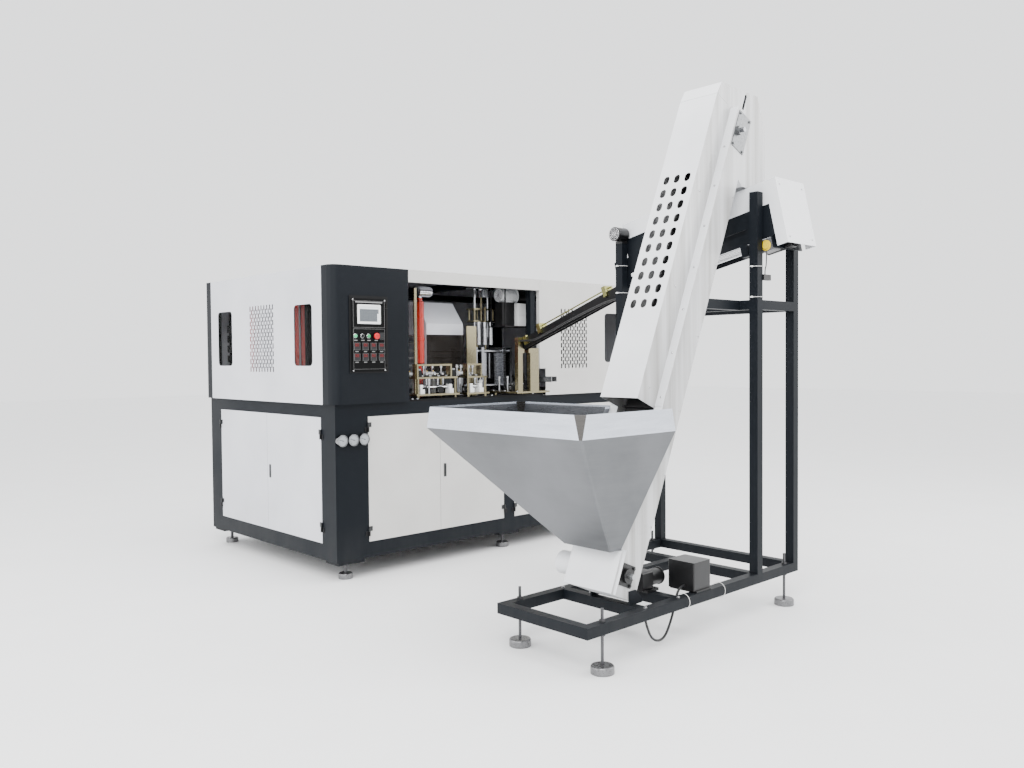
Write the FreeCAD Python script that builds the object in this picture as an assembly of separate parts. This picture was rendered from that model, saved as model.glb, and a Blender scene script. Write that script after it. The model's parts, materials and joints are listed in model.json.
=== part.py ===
import FreeCAD, Part
import math
import os

# Blow moulding machine with its preform feeder. Lengths are in millimetres, angles in degrees.
# The sizes are laid out from the machine's front left corner on the floor: X runs to the right
# along the front, Y to the back and Z up. At the end everything is moved so that the origin is
# the middle of the floor area under the whole object.

V = FreeCAD.Vector

# ---- Moulding machine: overall sizes ----
machine_length = 2960.0
machine_depth = 1800.0
machine_height = 1960.0
belt_line = 1100.0          # top of the base, where the cabinet starts
base_inset = 30.0           # the base stands this far inside the cabinet
panel_depth = 30.0          # depth of a folded panel's returns
sheet = 2.0                 # panel sheet
tube_wall = 4.0             # wall of the welded base tubes
seam = 1.5                  # open seam between neighbouring panels
touch = 0.3                 # gap where a moving piece lies against a fixed one
pin_play = 0.05             # radial play of a pin in its knuckle
slide_play = 0.15           # radial play of a slide on its bar

# ---- Base ----
base_bottom = 121.0
bottom_rail = 99.0
top_rail = 80.0
rail_depth = 100.0
corner_width = 238.0        # corner columns, along X
corner_depth = 165.0        # corner columns, along Y
middle_column = 99.0
middle_column_start = 1432.0
door_gap = 3.0
door_depth = 25.0
door_sheet = 1.5
front_seam = 848.0          # where the first two front doors meet
end_seam = 900.0            # where the two end doors meet
latch_width = 20.0
latch_height = 90.0
latch_height_above_floor = 578.0
latch_from_edge = 38.0
latch_proud = 4.0
latch_rim = 12.0            # from the plate's ends to its thumb recess
hinge_pin = 3.0             # radius
hinge_barrel = 6.0          # radius
hinge_leaf = 26.0
hinge_half = 30.0           # height of each half of a hinge
hinge_leaf_thickness = 3.0
front_hinge_levels = (290.0, 950.0)
end_hinge_levels = (325.0, 910.0)

# ---- Levelling feet ----
pad_radius = 45.0
pad_height = 36.0
pad_edge = 9.0              # rounding of a pad's top
stud_radius = 10.0
nut_radius = 17.0
nut_height = 14.0
foot_plate = (190.0, 150.0, 20.0)
foot_edge = (110.0, 80.0)   # foot centres from the base's outer faces, along X and Y
stud_reach = 30.0           # how far a stud stands up in the base

# ---- Cabinet ----
deck_thickness = 12.0
post = 50.0
corner_radius = 60.0
corner_strip = 120.0        # dark corner strips, along either side
control_wall_width = 574.0
header_bottom = 1879.0
opening_end = 1775.0
opening_post = 1712.0
notch = (63.0, 200.0)
outlet_reach = 118.0        # how far the outlet channel stands out
outlet_floor = 100.0        # above the belt line
outlet_wall = 40.0
window = (225.0, 390.0, 30.0)
window_bottom = 1340.0
window_from_edge = 115.0    # from the left panel's ends
pane_thickness = 4.0
pane_lap = 15.0
vent_cell = (15.0, 40.0)    # width of a vent slot, its full height
vent_pitch = (40.0, 52.0)
vent_point = 0.6            # slope of a slot's pointed ends
left_vent = (730.0, 1070.0, 1297.0, 1772.0)
front_vent = (1987.0, 2316.0, 1297.0, 1772.0)
front_window_start = 2510.0

# ---- Control panel ----
panel_frame = (120.0, 407.0, 1294.0, 1775.0)
panel_frame_thickness = 6.0
panel_border = 18.0
panel_box_depth = 180.0
panel_door = (131.0, 384.0, 1301.0, 1757.0)
panel_door_thickness = 3.0
panel_hinge_barrel = 4.0
panel_hinge_levels = (1318.0, 1700.0)
screen_frame = (175.0, 346.0, 1600.0, 1720.0)
screen_border = 14.0
screen_frame_thickness = 6.0
control_row = 1524.0
lamp_x = 158.0
selector_x = 210.0
start_x = 255.0
stop_x = 309.0
meter_x = 352.0
device_radius = 11.0
bezel_radius = 14.5
bezel_thickness = 4.0
cap_play = 0.1
stop_head_radius = 20.0
button_travel = 4.0
controller_size = 48.0
controller_columns = (166.0, 228.0, 288.0, 349.0)
controller_rows = (1459.0, 1393.0)
small_meter = (36.0, 46.0)
meter_depth = 8.0
meter_keys = 4

# ---- Pressure gauges ----
gauge_radius = 37.5
gauge_depth = 26.0
gauge_recess = 4.0
gauge_level = 878.0
gauge_places = (68.0, 148.0, 227.0)

# ---- Clamp and stretch unit ----
clamp_x = 1515.0
clamp_y = 360.0
mould_length = 200.0        # along Y
mould_thickness = 55.0      # along X
mould_bottom = 1190.0
mould_height = 230.0
mould_gap = 80.0            # between the open halves
cavity_radius = 20.0
cavity_pitch = 90.0
platen_thickness = 25.0
platen_margin = 40.0
tie_radius = 12.0
tie_inset = 16.0            # from the platen's edges to a tie bar
end_plate_thickness = 20.0
end_plate_room = 40.0       # between an open platen and its end plate
piston_radius = 12.0
piston_tail = 44.0          # how far a piston rod stands out of its end plate
carriage_length = 220.0
carriage_depth = 90.0
carriage_plate = 12.0
carriage_low = 1650.0
carriage_high = 1740.0
guide_radius = 10.0
guide_pitch = 130.0
carriage_rod_radius = 9.0
carriage_travel = 45.0
stretch_rod_radius = 6.0
stretch_rod_tip = 1440.0
stretch_cylinder_radius = 24.0

# ---- Heater ----
heater = (950.0, 1285.0, 300.0, 650.0)
heater_hood_bottom = 1550.0
heater_top = 1785.0
heater_slope = 120.0
heater_leg = 30.0
shield_bottom = 1290.0

# ---- Red uprights and their air cylinders ----
upright_places = ((200.0, 300.0), (200.0, 1400.0))
upright_width = 40.0
upright_depth = 70.0
upright_top = 1790.0
cylinder_radius = 28.0
cylinder_length = 120.0
cylinder_rod_radius = 10.0
cylinder_rod_reach = 430.0  # from the cylinder's top to the rod's lower end
red_tube = (885.0, 290.0)   # the round red air pipe beside the heater
red_tube_radius = 18.0
red_tube_top = 1803.0
regulator_radius = 36.0     # the chromed regulator on top of the pipe
regulator_length = 95.0

# ---- Blower ----
blower_x = 1560.0
blower_y = 215.0
blower_axis = 1846.0
blower_radius = 48.0
blower_length = 152.0
fan_housing_radius = 64.0
fan_housing_length = 126.0
filter_box_start = 1688.0   # the two boxes under the fan housing
filter_box_end = 1836.0
shelf = (1540.0, 1860.0, 120.0, 300.0)
shelf_bottom = 1610.0
shelf_thickness = 8.0
duct_width = 84.0
post_fan_radius = 42.0      # the small fan motor on the feeder's far left post
post_fan_overhang = 40.0
post_fan_saddle = 14.0

# ---- Transfer tables and infeed ----
table_plate = 12.0
table_spacer = 18.0
left_table = (680.0, 1050.0, 60.0, 260.0)
right_table = (1085.0, 1290.0, 20.0, 200.0)
block_size = (36.0, 60.0, 62.0)
shaft_radius = 8.0
table_upper_gap = 102.0
table_top_rise = 87.0       # from the upper plate to the small plate above it
table_mast = (684.0, 704.0, 84.0, 96.0)
table_mast_top = 1850.0
side_sheet = (1240.0, 1330.0, 204.0, 210.0)
side_sheet_top = 1612.0
infeed_plate = (1380.0, 1705.0, -170.0, 120.0)
infeed_post_depth = 34.0
infeed_posts_from_chute = (-82.0, 38.0, 82.0)
infeed_post_widths = (44.0, 44.0, 40.0)
infeed_post_heights = (382.0, 306.0, 306.0)

# ---- Feeder frame ----
tube = 50.0
feeder_tube_wall = 3.0
feeder_left = -100.0
feeder_near = -2155.0
feeder_far = -1190.0
feeder_step = -1584.0       # far side of the narrow part
rail_bottom = 175.0
post_left = 1240.0
post_top = 2240.0
far_post_top = 2060.0
mid_rail = 1625.0
cross_rails = (300.0, 550.0)
feeder_pad_radius = 53.0
feeder_stud_radius = 7.0
feeder_foot_edge = (124.0, 107.0)   # feet from the frame's left and right ends
bracket_height = 66.0
bracket_reach = 95.0
bracket_thickness = 6.0

# ---- Elevator, laid out along its own belt and then tilted ----
elevator_tilt = 67.0
elevator_foot = 357.0       # X of the lower back corner
elevator_side = -2050.0     # Y of the near side wall
elevator_width = 230.0
elevator_sheet = 2.5
trough_back = 18.0
lip_level = 222.0
lip = 46.0
cover_level = 360.0
cover_start = 893.0
cover_end = 2568.0
hood_right = 1485.0
hood_left = 1262.0
hood_bottom = 2280.0
foot_cover_height = 196.0
shaft_level = 125.0
tail_shaft = 104.0
head_shaft = 2492.0
drum_radius = 52.0
drum_shaft_radius = 12.5
belt_thickness = 4.0
belt_width = 190.0
hub_radii = (34.0, 24.0)    # bearings of the tail shaft and of the head shaft
tail_plate = (-52.0, 52.0, -52.0, 52.0)
head_plate = (-95.0, 113.0, -88.0, 25.0)
tail_cover_radius = 57.0
hood_crown = (1412.0, 2783.0)       # corners of the head hood, X and Z
hood_brow = (1474.0, 2640.0)
hood_chin = 2590.0
take_up_slot = (139.0, 212.0)       # from the head shaft
cleat_height = 28.0
cleat_thickness = 6.0
cleat_pitch = 199.0
hole_radius = 17.0
hole_length = 48.0
hole_columns = 3
hole_rows = 10
hole_pitch_across = 65.0
hole_pitch_along = 77.5
first_hole = 1387.0

# ---- Hopper ----
hopper_left = -80.0
hopper_right = 605.0
hopper_before_trough = 55.0  # from the trough's near side to the hopper's near face
hopper_far = -1020.0
hopper_rim = 1132.0
hopper_fold = 1023.0
hopper_outlet = 500.0
outlet_x = (150.0, 232.0)
outlet_room = (20.0, 40.0)  # the outlet's room before and behind the trough
hopper_sheet = 2.0
rim_corner = 38.0           # corner gussets at the rim's top
fold_corner = 11.0          # and at the fold below it

# ---- Sorter ----
sorter_tilt = 12.5
sorter_near = -2240.0
sorter_axis = 2069.0        # height of the roller axes at the near end
sorter_length = 1110.0
sorter_side = 10.0          # from the left posts to the left side plate
sorter_far_side = 20.0      # from the right side plate to the right posts
sorter_width = 290.0
sorter_low = -52.0
sorter_high = 130.0
sorter_plate = 4.0
roller_radius = 38.0
roller_gap = 28.0
roller_journal = 10.0
motor_plate_at = 48.0
motor_plate_low = -112.0
side_slot = (190.0, 1000.0, 6.0, 30.0)
near_cover_depth = 136.0    # ends where the head hood's mouth begins
cover_top = 243.0
cover_low = 118.0
skirt_low = -112.0
skirt_return = 28.0
far_cover = (788.0, 998.0, 238.0, 333.0)
far_side_top = 250.0
sorter_motor_x = 1440.0
sorter_motor_radius = 32.0
sorter_motor_level = -80.0
sorter_motor_length = 110.0
sorter_gear_size = (66.0, 74.0)
sorter_gear_low = 68.0      # its underside, below the side plates

# ---- Chute ----
chute_x = 1480.0
chute_slope = 20.0
chute_high_y = -1150.0
chute_low_y = -130.0
chute_low_z = 1429.0        # lower edge of the rails at the low end
chute_rail_height = 74.0
chute_rail_thickness = 6.0
chute_gap = 32.0
clamp_starts = (200.0, 835.0)
clamp_length = 30.0
clamp_cheek = 18.0          # thickness beside each rail
clamp_rod_radius = 5.0
side_clamp = (985.0, 1020.0)
bracket_run = 120.0

# ---- Drive box and cords ----
drive_box_x = (690.0, 830.0)
drive_cable_radius = 6.0
chute_hose_radius = 7.0
sensor_cable_radius = 3.0
sensor_size = (70.0, 22.0, 30.0)
sensor_level = 1780.0

# ---- What follows from the sizes above ----
feeder_right = post_left + tube + sorter_side + sorter_width + sorter_far_side + tube
hopper_near = elevator_side - hopper_before_trough
outlet_y = (elevator_side - outlet_room[0], elevator_side + elevator_width + outlet_room[1])


def block(x0, x1, y0, y1, z0, z1):
    return Part.makeBox(x1 - x0, y1 - y0, z1 - z0, V(x0, y0, z0))


def rod(radius, start, end):
    start = V(*start)
    way = V(*end) - start
    return Part.makeCylinder(radius, way.Length, start, way)


def joined(shapes):
    whole = shapes[0].multiFuse(shapes[1:]) if len(shapes) > 1 else shapes[0]
    return whole.removeSplitter()


def without(shape, cutters):
    return shape.cut(Part.Compound(cutters)) if cutters else shape


def group(shapes):
    return Part.Compound(shapes)


def tray(x0, x1, y0, y1, z0, z1, open_side, wall):
    """A folded panel: a box whose side named by open_side, such as '+y', is missing."""
    low = [x0 + wall, y0 + wall, z0 + wall]
    high = [x1 - wall, y1 - wall, z1 - wall]
    axis = "xyz".index(open_side[1])
    if open_side[0] == "+":
        high[axis] = (x1, y1, z1)[axis] + 1
    else:
        low[axis] = (x0, y0, z0)[axis] - 1
    return block(x0, x1, y0, y1, z0, z1).cut(block(low[0], high[0], low[1], high[1], low[2], high[2]))


def rounded(x0, x1, y0, y1, z0, z1, radius, along):
    """A box whose four edges along one axis are rounded."""
    solid = block(x0, x1, y0, y1, z0, z1)
    edges = []
    for edge in solid.Edges:
        way = edge.Vertexes[1].Point - edge.Vertexes[0].Point
        if abs(way[along]) > 1e-6:
            edges.append(edge)
    return solid.makeFillet(radius, edges)


def prism(points, way):
    """A closed outline pushed along a vector."""
    corners = [V(*point) for point in points]
    face = Part.Face(Part.makePolygon(corners + corners[:1]))
    return face.extrude(V(*way))


# ------------------------------------------------------------------ base

base_x = (base_inset, machine_length - base_inset)
base_y = (base_inset, machine_depth - base_inset)
bay_bottom = base_bottom + bottom_rail
bay_top = belt_line - top_rail
middle_column_end = middle_column_start + middle_column
deck_top = belt_line + deck_thickness
inner_top = machine_height - sheet
beam_bottom = inner_top - post


def base_bars(grow):
    """The welded base: rails, four corner columns and two middle columns, shrunk by grow."""
    x0, x1 = base_x[0] + grow, base_x[1] - grow
    y0, y1 = base_y[0] + grow, base_y[1] - grow
    depth = rail_depth - 2 * grow
    bars = []
    for low, high in ((base_bottom, bay_bottom), (bay_top, belt_line)):
        for y in (y0, y1 - depth):
            bars.append(block(x0, x1, y, y + depth, low + grow, high - grow))
        for x in (x0, x1 - depth):
            bars.append(block(x, x + depth, y0, y1, low + grow, high - grow))
    low, high = base_bottom + 2 * grow, belt_line - 2 * grow
    for x in (x0, x1 - corner_width + 2 * grow):
        for y in (y0, y1 - corner_depth + 2 * grow):
            bars.append(block(x, x + corner_width - 2 * grow, y, y + corner_depth - 2 * grow, low, high))
    for y in (y0, y1 - depth):
        bars.append(block(middle_column_start + grow, middle_column_end - grow, y, y + depth, low, high))
    return bars


foot_places = [(x, y)
               for x in (base_x[0] + foot_edge[0], (middle_column_start + middle_column_end) / 2,
                         base_x[1] - foot_edge[0])
               for y in (base_y[0] + foot_edge[1], base_y[1] - foot_edge[1])]


def base_frame():
    outer = joined(base_bars(0))
    inner = joined(base_bars(tube_wall))
    frame = outer.cut(inner)
    length, width, thickness = foot_plate
    plates = [block(x - length / 2, x + length / 2, y - width / 2, y + width / 2,
                    base_bottom - thickness, base_bottom) for x, y in foot_places]
    frame = joined([frame] + plates)
    low, high = base_bottom - thickness - 1, base_bottom + tube_wall + 1
    holes = [rod(stud_radius + touch, (x, y, low), (x, y, high)) for x, y in foot_places]
    return without(frame, holes)


def hinge_half_shape(side, door_half):
    """Half a hinge about the Z axis: a leaf on the -Y side of the face at y = leaf, and a barrel.

    side is +1 where the leaf reaches to +X. The frame half carries the pin.
    """
    z0, z1 = (touch, hinge_half) if door_half else (-hinge_half, 0)
    back = hinge_barrel + 1
    leaf = block(min(0, side * hinge_leaf), max(0, side * hinge_leaf),
                 back - hinge_leaf_thickness, back, z0, z1)
    barrel = rod(hinge_barrel, (0, 0, z0), (0, 0, z1))
    if not door_half:
        pin = rod(hinge_pin, (0, 0, z1 - 1), (0, 0, hinge_half))
        return joined([leaf, barrel, pin])
    bore = rod(hinge_pin + pin_play, (0, 0, z0 - 1), (0, 0, z1 + 1))
    return joined([leaf, barrel]).cut(bore)


def on_front(shape, x, z):
    """Moves a shape made about the Z axis to the base's front face."""
    moved = shape.copy()
    moved.translate(V(x, base_inset - hinge_barrel - 1, z))
    return moved


def on_end(shape, y, z):
    """Turns a shape made for the front face on to the base's left end."""
    moved = shape.copy()
    moved.rotate(V(0, 0, 0), V(0, 0, 1), -90)
    moved.translate(V(base_inset - hinge_barrel - 1, y, z))
    return moved


def latch(x, face):
    """A sunk slot latch: a rounded plate with a thumb recess, on a front face at y = face."""
    low, high = latch_height_above_floor, latch_height_above_floor + latch_height
    half = latch_width / 2
    plate = rounded(x - half, x + half, face - latch_proud, face, low, high, latch_proud, 1)
    recess = rounded(x - half / 2, x + half / 2, face - latch_proud - 1, face - latch_proud / 2,
                     low + latch_rim, high - latch_rim, 3, 1)
    return plate.cut(recess)


end_column_start = machine_length - base_inset - corner_width
right_seam = (middle_column_end + end_column_start) / 2
left_bay = (base_x[0] + corner_width, middle_column_start)
right_bay = (middle_column_end, end_column_start)
front_doors = [(left_bay[0], front_seam, -1, False), (front_seam, left_bay[1], 1, True),
               (right_bay[0], right_seam, -1, False), (right_seam, right_bay[1], 1, True)]
end_bay = (base_y[0] + corner_depth, base_y[1] - corner_depth)
end_doors = [(end_bay[0], end_seam, -1, True), (end_seam, end_bay[1], 1, False)]


def door_edges(low, high, side):
    """The leaf's own edges: the full gap at the frame, half of it at the seam."""
    return (low + (door_gap if side < 0 else door_gap / 2),
            high - (door_gap / 2 if side < 0 else door_gap))


def front_door(low, high, side, latched):
    x0, x1 = door_edges(low, high, side)
    parts = [tray(x0, x1, base_inset, base_inset + door_depth, bay_bottom + door_gap,
                  bay_top - door_gap, "+y", door_sheet)]
    hinge_x = low if side < 0 else high
    for level in front_hinge_levels:
        parts.append(on_front(hinge_half_shape(-side, True), hinge_x, level))
    if latched:
        edge = x0 + latch_from_edge if side > 0 else x1 - latch_from_edge
        parts.append(latch(edge, base_inset))
    return group(parts)


def end_door(low, high, side, latched):
    y0, y1 = door_edges(low, high, side)
    parts = [tray(base_inset, base_inset + door_depth, y0, y1, bay_bottom + door_gap,
                  bay_top - door_gap, "+x", door_sheet)]
    hinge_y = low if side < 0 else high
    for level in end_hinge_levels:
        parts.append(on_end(hinge_half_shape(side, True), hinge_y, level))
    if latched:
        plate = latch(0, 0)
        plate.rotate(V(0, 0, 0), V(0, 0, 1), -90)
        plate.translate(V(base_inset, y1 - latch_from_edge, 0))
        parts.append(plate)
    return group(parts)


def hinge_frame_halves():
    halves = []
    for low, high, side, latched in front_doors:
        for level in front_hinge_levels:
            halves.append(on_front(hinge_half_shape(side, False), low if side < 0 else high, level))
    for low, high, side, latched in end_doors:
        for level in end_hinge_levels:
            halves.append(on_end(hinge_half_shape(-side, False), low if side < 0 else high, level))
    return group(halves)


# ------------------------------------------------------------------ feet

feeder_foot_x = (feeder_left + feeder_foot_edge[0], feeder_right - feeder_foot_edge[1])
feeder_feet = [(feeder_foot_x[0], feeder_near + tube / 2), (feeder_foot_x[0], feeder_step - tube / 2),
               (feeder_foot_x[1], feeder_near + tube / 2), (feeder_foot_x[1], feeder_far - tube / 2)]
feeder_rail_top = rail_bottom + tube


def pad(x, y, radius):
    disc = Part.makeCylinder(radius, pad_height, V(x, y, 0))
    return disc.makeFillet(pad_edge, [edge for edge in disc.Edges if edge.BoundBox.ZMin > pad_height - 1])


def studs():
    shapes = []
    for x, y in foot_places:
        under = base_bottom - foot_plate[2] - touch
        nut = rod(nut_radius, (x, y, under - nut_height), (x, y, under))
        stem = rod(stud_radius, (x, y, pad_height), (x, y, base_bottom + stud_reach))
        shapes.append(joined([nut, stem]))
    for x, y in feeder_feet:
        stem = rod(feeder_stud_radius, (x, y, pad_height), (x, y, feeder_rail_top + 2 * stud_reach))
        nuts = [Part.makeCylinder(nut_radius * 0.8, 10, V(x, y, z))
                for z in (rail_bottom - 10 - touch, feeder_rail_top + touch)]
        shapes.append(joined([stem] + nuts))
    return group(shapes)


def pads():
    shapes = [pad(x, y, pad_radius) for x, y in foot_places]
    shapes += [pad(x, y, feeder_pad_radius) for x, y in feeder_feet]
    return group(shapes)


# ------------------------------------------------------------------ cabinet

def hexagon_slots(low, high, bottom, top):
    """Rows of upright six-sided slots, every other row shifted by half a pitch: (centre, level)."""
    width, height = vent_cell
    across, up = vent_pitch
    columns = int((high - low - width) // across) + 1
    rows = int((top - bottom - height) // (up / 2)) + 1
    start = (low + high) / 2 - (columns - 1) * across / 2
    places = []
    for row in range(rows):
        shift = across / 2 if row % 2 else 0
        for column in range(columns - row % 2):
            places.append((start + shift + column * across, bottom + height / 2 + row * up / 2))
    return places


def slot_outline(centre, level):
    width, height = vent_cell
    half, tip = width / 2, height / 2
    shoulder = tip - half * vent_point
    return [(centre - half, level - shoulder), (centre, level - tip), (centre + half, level - shoulder),
            (centre + half, level + shoulder), (centre, level + tip), (centre - half, level + shoulder)]


def front_vent_cutters(area):
    return [prism([(x, -1, z) for x, z in slot_outline(*place)], (0, sheet + 2, 0))
            for place in hexagon_slots(*area)]


def side_vent_cutters(area):
    return [prism([(-1, y, z) for y, z in slot_outline(*place)], (sheet + 2, 0, 0))
            for place in hexagon_slots(*area)]


left_windows = (corner_strip + window_from_edge,
                machine_depth - corner_strip - window_from_edge - window[0])


def left_panel():
    panel = tray(0, panel_depth, corner_strip + seam, machine_depth - corner_strip - seam,
                 belt_line, machine_height, "+x", sheet)
    holes = [rounded(-1, sheet + 1, y, y + window[0], window_bottom, window_bottom + window[1], window[2], 0)
             for y in left_windows]
    return without(panel, holes + side_vent_cutters(left_vent))


right_panel_end = machine_length - corner_strip


def front_panels():
    header = tray(control_wall_width + seam, opening_end - seam, 0, panel_depth,
                  header_bottom, machine_height, "+y", sheet)
    panel = tray(opening_end, right_panel_end - seam, 0, panel_depth, belt_line, machine_height, "+y", sheet)
    x = front_window_start
    holes = [rounded(x, x + window[0], -1, sheet + 1, window_bottom, window_bottom + window[1], window[2], 1),
             block(opening_end - 1, opening_end + notch[0], -1, panel_depth + 1,
                   belt_line - 1, belt_line + notch[1])]
    return group([header, without(panel, holes + front_vent_cutters(front_vent))])


def plain_panels():
    """The roof, the rear and right panels of the cabinet, and the closed rear and right of the base."""
    back = machine_depth
    end = machine_length
    roof = block(*base_x, *base_y, inner_top, machine_height)
    half = machine_length / 2
    rear = [tray(corner_strip + seam, half - seam / 2, back - panel_depth, back, belt_line,
                 machine_height, "-y", sheet),
            tray(half + seam / 2, end - corner_strip - seam, back - panel_depth, back, belt_line,
                 machine_height, "-y", sheet)]
    right = tray(end - panel_depth, end, corner_strip + seam, back - corner_strip - seam,
                 belt_line, machine_height, "-x", sheet)
    low = []
    for x0, x1 in (left_bay, right_bay):
        low.append(tray(x0, x1, base_y[1] - door_depth, base_y[1], bay_bottom, bay_top, "-y", door_sheet))
    low.append(tray(base_x[1] - door_depth, base_x[1], *end_bay, bay_bottom, bay_top, "-x", door_sheet))
    return group([roof, right] + rear + low)


def cabinet_shell(inset, z0, z1):
    radius = max(corner_radius - inset, 1)
    return rounded(inset, machine_length - inset, inset, machine_depth - inset, z0, z1, radius, 2)


def corner_panel(x0, x1, y0, y1):
    """A dark folded corner: a rounded skin with flanges at its top and bottom and returns at its ends."""
    skin = cabinet_shell(0, belt_line, machine_height).cut(
        cabinet_shell(sheet, belt_line - 1, machine_height + 1))
    flanges = cabinet_shell(0, belt_line, machine_height).cut(
        block(*base_x, *base_y, belt_line - 1, machine_height + 1))
    flanges = flanges.cut(block(-1, machine_length + 1, -1, machine_depth + 1,
                                belt_line + sheet, machine_height - sheet))
    area = block(x0, x1, y0, y1, belt_line, machine_height)
    returns = []
    for x in (x0, x1 - sheet):
        if x > panel_depth and x + sheet < machine_length - panel_depth:
            y = y0 if y0 <= 0 else y1 - panel_depth
            returns.append(block(x, x + sheet, y, y + panel_depth, belt_line, machine_height))
    for y in (y0, y1 - sheet):
        if y > panel_depth and y + sheet < machine_depth - panel_depth:
            x = x0 if x0 <= 0 else x1 - panel_depth
            returns.append(block(x, x + panel_depth, y, y + sheet, belt_line, machine_height))
    return joined([skin.common(area), flanges.common(area)] + returns)


def panel_cutout(grow):
    x0, x1, z0, z1 = panel_frame
    edge = panel_border - grow
    return x0 + edge, x1 - edge, z0 + edge, z1 - edge


def corner_panels():
    far_x, far_y = machine_length - corner_strip, machine_depth - corner_strip
    wall = corner_panel(0, control_wall_width, 0, corner_strip)
    x0, x1, z0, z1 = panel_cutout(sheet + 1)
    wall = wall.cut(block(x0, x1, -1, sheet + 1, z0, z1))
    return group([wall, corner_panel(0, corner_strip, far_y, machine_depth),
                  corner_panel(far_x, machine_length, 0, corner_strip),
                  corner_panel(far_x, machine_length, far_y, machine_depth)])


def cabinet_frame():
    """Corner posts, two posts beside the opening, and a ring of beams with a cross beam."""
    x0, x1 = base_x
    y0, y1 = base_y
    bars = []
    for x in (x0, x1 - post, control_wall_width - post, opening_post):
        bars.append(block(x, x + post, y0, y0 + post, deck_top, inner_top))
    for x in (x0, x1 - post, (x0 + x1 - post) / 2):
        bars.append(block(x, x + post, y1 - post, y1, deck_top, inner_top))
    for y in (y0, y1 - post):
        bars.append(block(x0, x1, y, y + post, beam_bottom, inner_top))
    for x in (x0, x1 - post, clamp_x - post / 2):
        bars.append(block(x, x + post, y0, y1, beam_bottom, inner_top))
    return joined(bars)


def window_panes():
    low, high = window_bottom - pane_lap, window_bottom + window[1] + pane_lap
    panes = [block(sheet, sheet + pane_thickness, y - pane_lap, y + window[0] + pane_lap, low, high)
             for y in left_windows]
    x = front_window_start
    panes.append(block(x - pane_lap, x + window[0] + pane_lap, sheet, sheet + pane_thickness, low, high))
    return group(panes)


# ------------------------------------------------------------------ control panel

frame_front = -panel_frame_thickness
panel_back = frame_front - touch
panel_front = panel_back - panel_door_thickness
panel_hinge_x = panel_door[1] + panel_hinge_barrel
panel_hinge_y = panel_front - 2


def control_frame():
    x0, x1, z0, z1 = panel_frame
    bx0, bx1, bz0, bz1 = panel_cutout(sheet)
    ix0, ix1, iz0, iz1 = panel_cutout(0)
    face = rounded(x0, x1, frame_front, 0, z0, z1, 6, 1)
    box = block(bx0, bx1, 0, panel_box_depth, bz0, bz1)
    hollow = block(ix0, ix1, frame_front - 1, panel_box_depth - sheet, iz0, iz1)
    parts = [joined([face, box]).cut(hollow)]
    for level in panel_hinge_levels:
        leaf = block(panel_hinge_x, x1 - 2, panel_hinge_y, frame_front, level, level + hinge_half / 2)
        barrel = rod(panel_hinge_barrel, (panel_hinge_x, panel_hinge_y, level),
                     (panel_hinge_x, panel_hinge_y, level + hinge_half / 2))
        pin = rod(panel_hinge_barrel / 2, (panel_hinge_x, panel_hinge_y, level),
                  (panel_hinge_x, panel_hinge_y, level + hinge_half))
        parts.append(joined([leaf, barrel, pin]))
    return group(parts)


def control_door():
    x0, x1, z0, z1 = panel_door
    door = rounded(x0, x1, panel_front, panel_back, z0, z1, 4, 1)
    divider = (control_row + bezel_radius + screen_frame[2]) / 2
    strip = block(x0 + 12, x1 - 12, panel_front - 1, panel_front, divider, divider + 2)
    parts = [door, strip]
    for level in panel_hinge_levels:
        low = level + hinge_half / 2 + touch
        parts.append(block(x1 - 14, panel_hinge_x, panel_hinge_y - 1, panel_front, low, level + hinge_half))
        parts.append(rod(panel_hinge_barrel, (panel_hinge_x, panel_hinge_y, low),
                         (panel_hinge_x, panel_hinge_y, level + hinge_half)))
    bores = [rod(panel_hinge_barrel / 2 + pin_play, (panel_hinge_x, panel_hinge_y, level),
                 (panel_hinge_x, panel_hinge_y, level + hinge_half + 1)) for level in panel_hinge_levels]
    for x in (lamp_x, selector_x, start_x, stop_x):
        bores.append(across_panel(device_radius + cap_play, x, panel_front - 2, 0))
    return without(joined(parts), bores)


def screen_bezel():
    x0, x1, z0, z1 = screen_frame
    edge = screen_border
    back = panel_front - screen_frame_thickness
    bezel = rounded(x0, x1, back, panel_front, z0, z1, 6, 1)
    return bezel.cut(rounded(x0 + edge, x1 - edge, back - 1, panel_front + 1, z0 + edge, z1 - edge, 2, 1))


def screen_glass():
    x0, x1, z0, z1 = screen_frame
    edge = screen_border + touch
    return rounded(x0 + edge, x1 - edge, panel_front - screen_frame_thickness / 2, panel_front,
                   z0 + edge, z1 - edge, 2, 1)


def meter(x, z, width, height):
    """A panel meter: a bezel with a stepped window and a row of keys."""
    front = panel_front - meter_depth
    x0, x1, z0, z1 = x - width / 2, x + width / 2, z - height / 2, z + height / 2
    body = rounded(x0, x1, front, panel_front, z0, z1, 3, 1)
    display = block(x0 + 4, x1 - 4, front - 1, front + 1.5, z - 2, z1 - 5)
    pitch = (width - 10) / meter_keys
    keys = []
    for i in range(meter_keys):
        start = x0 + 5 + i * pitch
        keys.append(rounded(start, start + 0.75 * pitch, front - 1.2, front + 1, z0 + 5, z0 + 11, 1, 1))
    return joined([body.cut(display)] + keys)


def panel_meters():
    shapes = [meter(x, z, controller_size, controller_size)
              for z in controller_rows for x in controller_columns]
    shapes.append(meter(meter_x, control_row, *small_meter))
    return group(shapes)


def across_panel(radius, x, front, back):
    """A round bar through the panel at the row of buttons."""
    return rod(radius, (x, front, control_row), (x, back, control_row))


def bezel(x):
    front = panel_front - bezel_thickness
    ring = across_panel(bezel_radius, x, front, panel_front)
    ring = ring.makeChamfer(1, [edge for edge in ring.Edges if edge.BoundBox.YMax < front + 0.1])
    return ring.cut(across_panel(device_radius + cap_play, x, front - 1, panel_front + 1))


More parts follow.
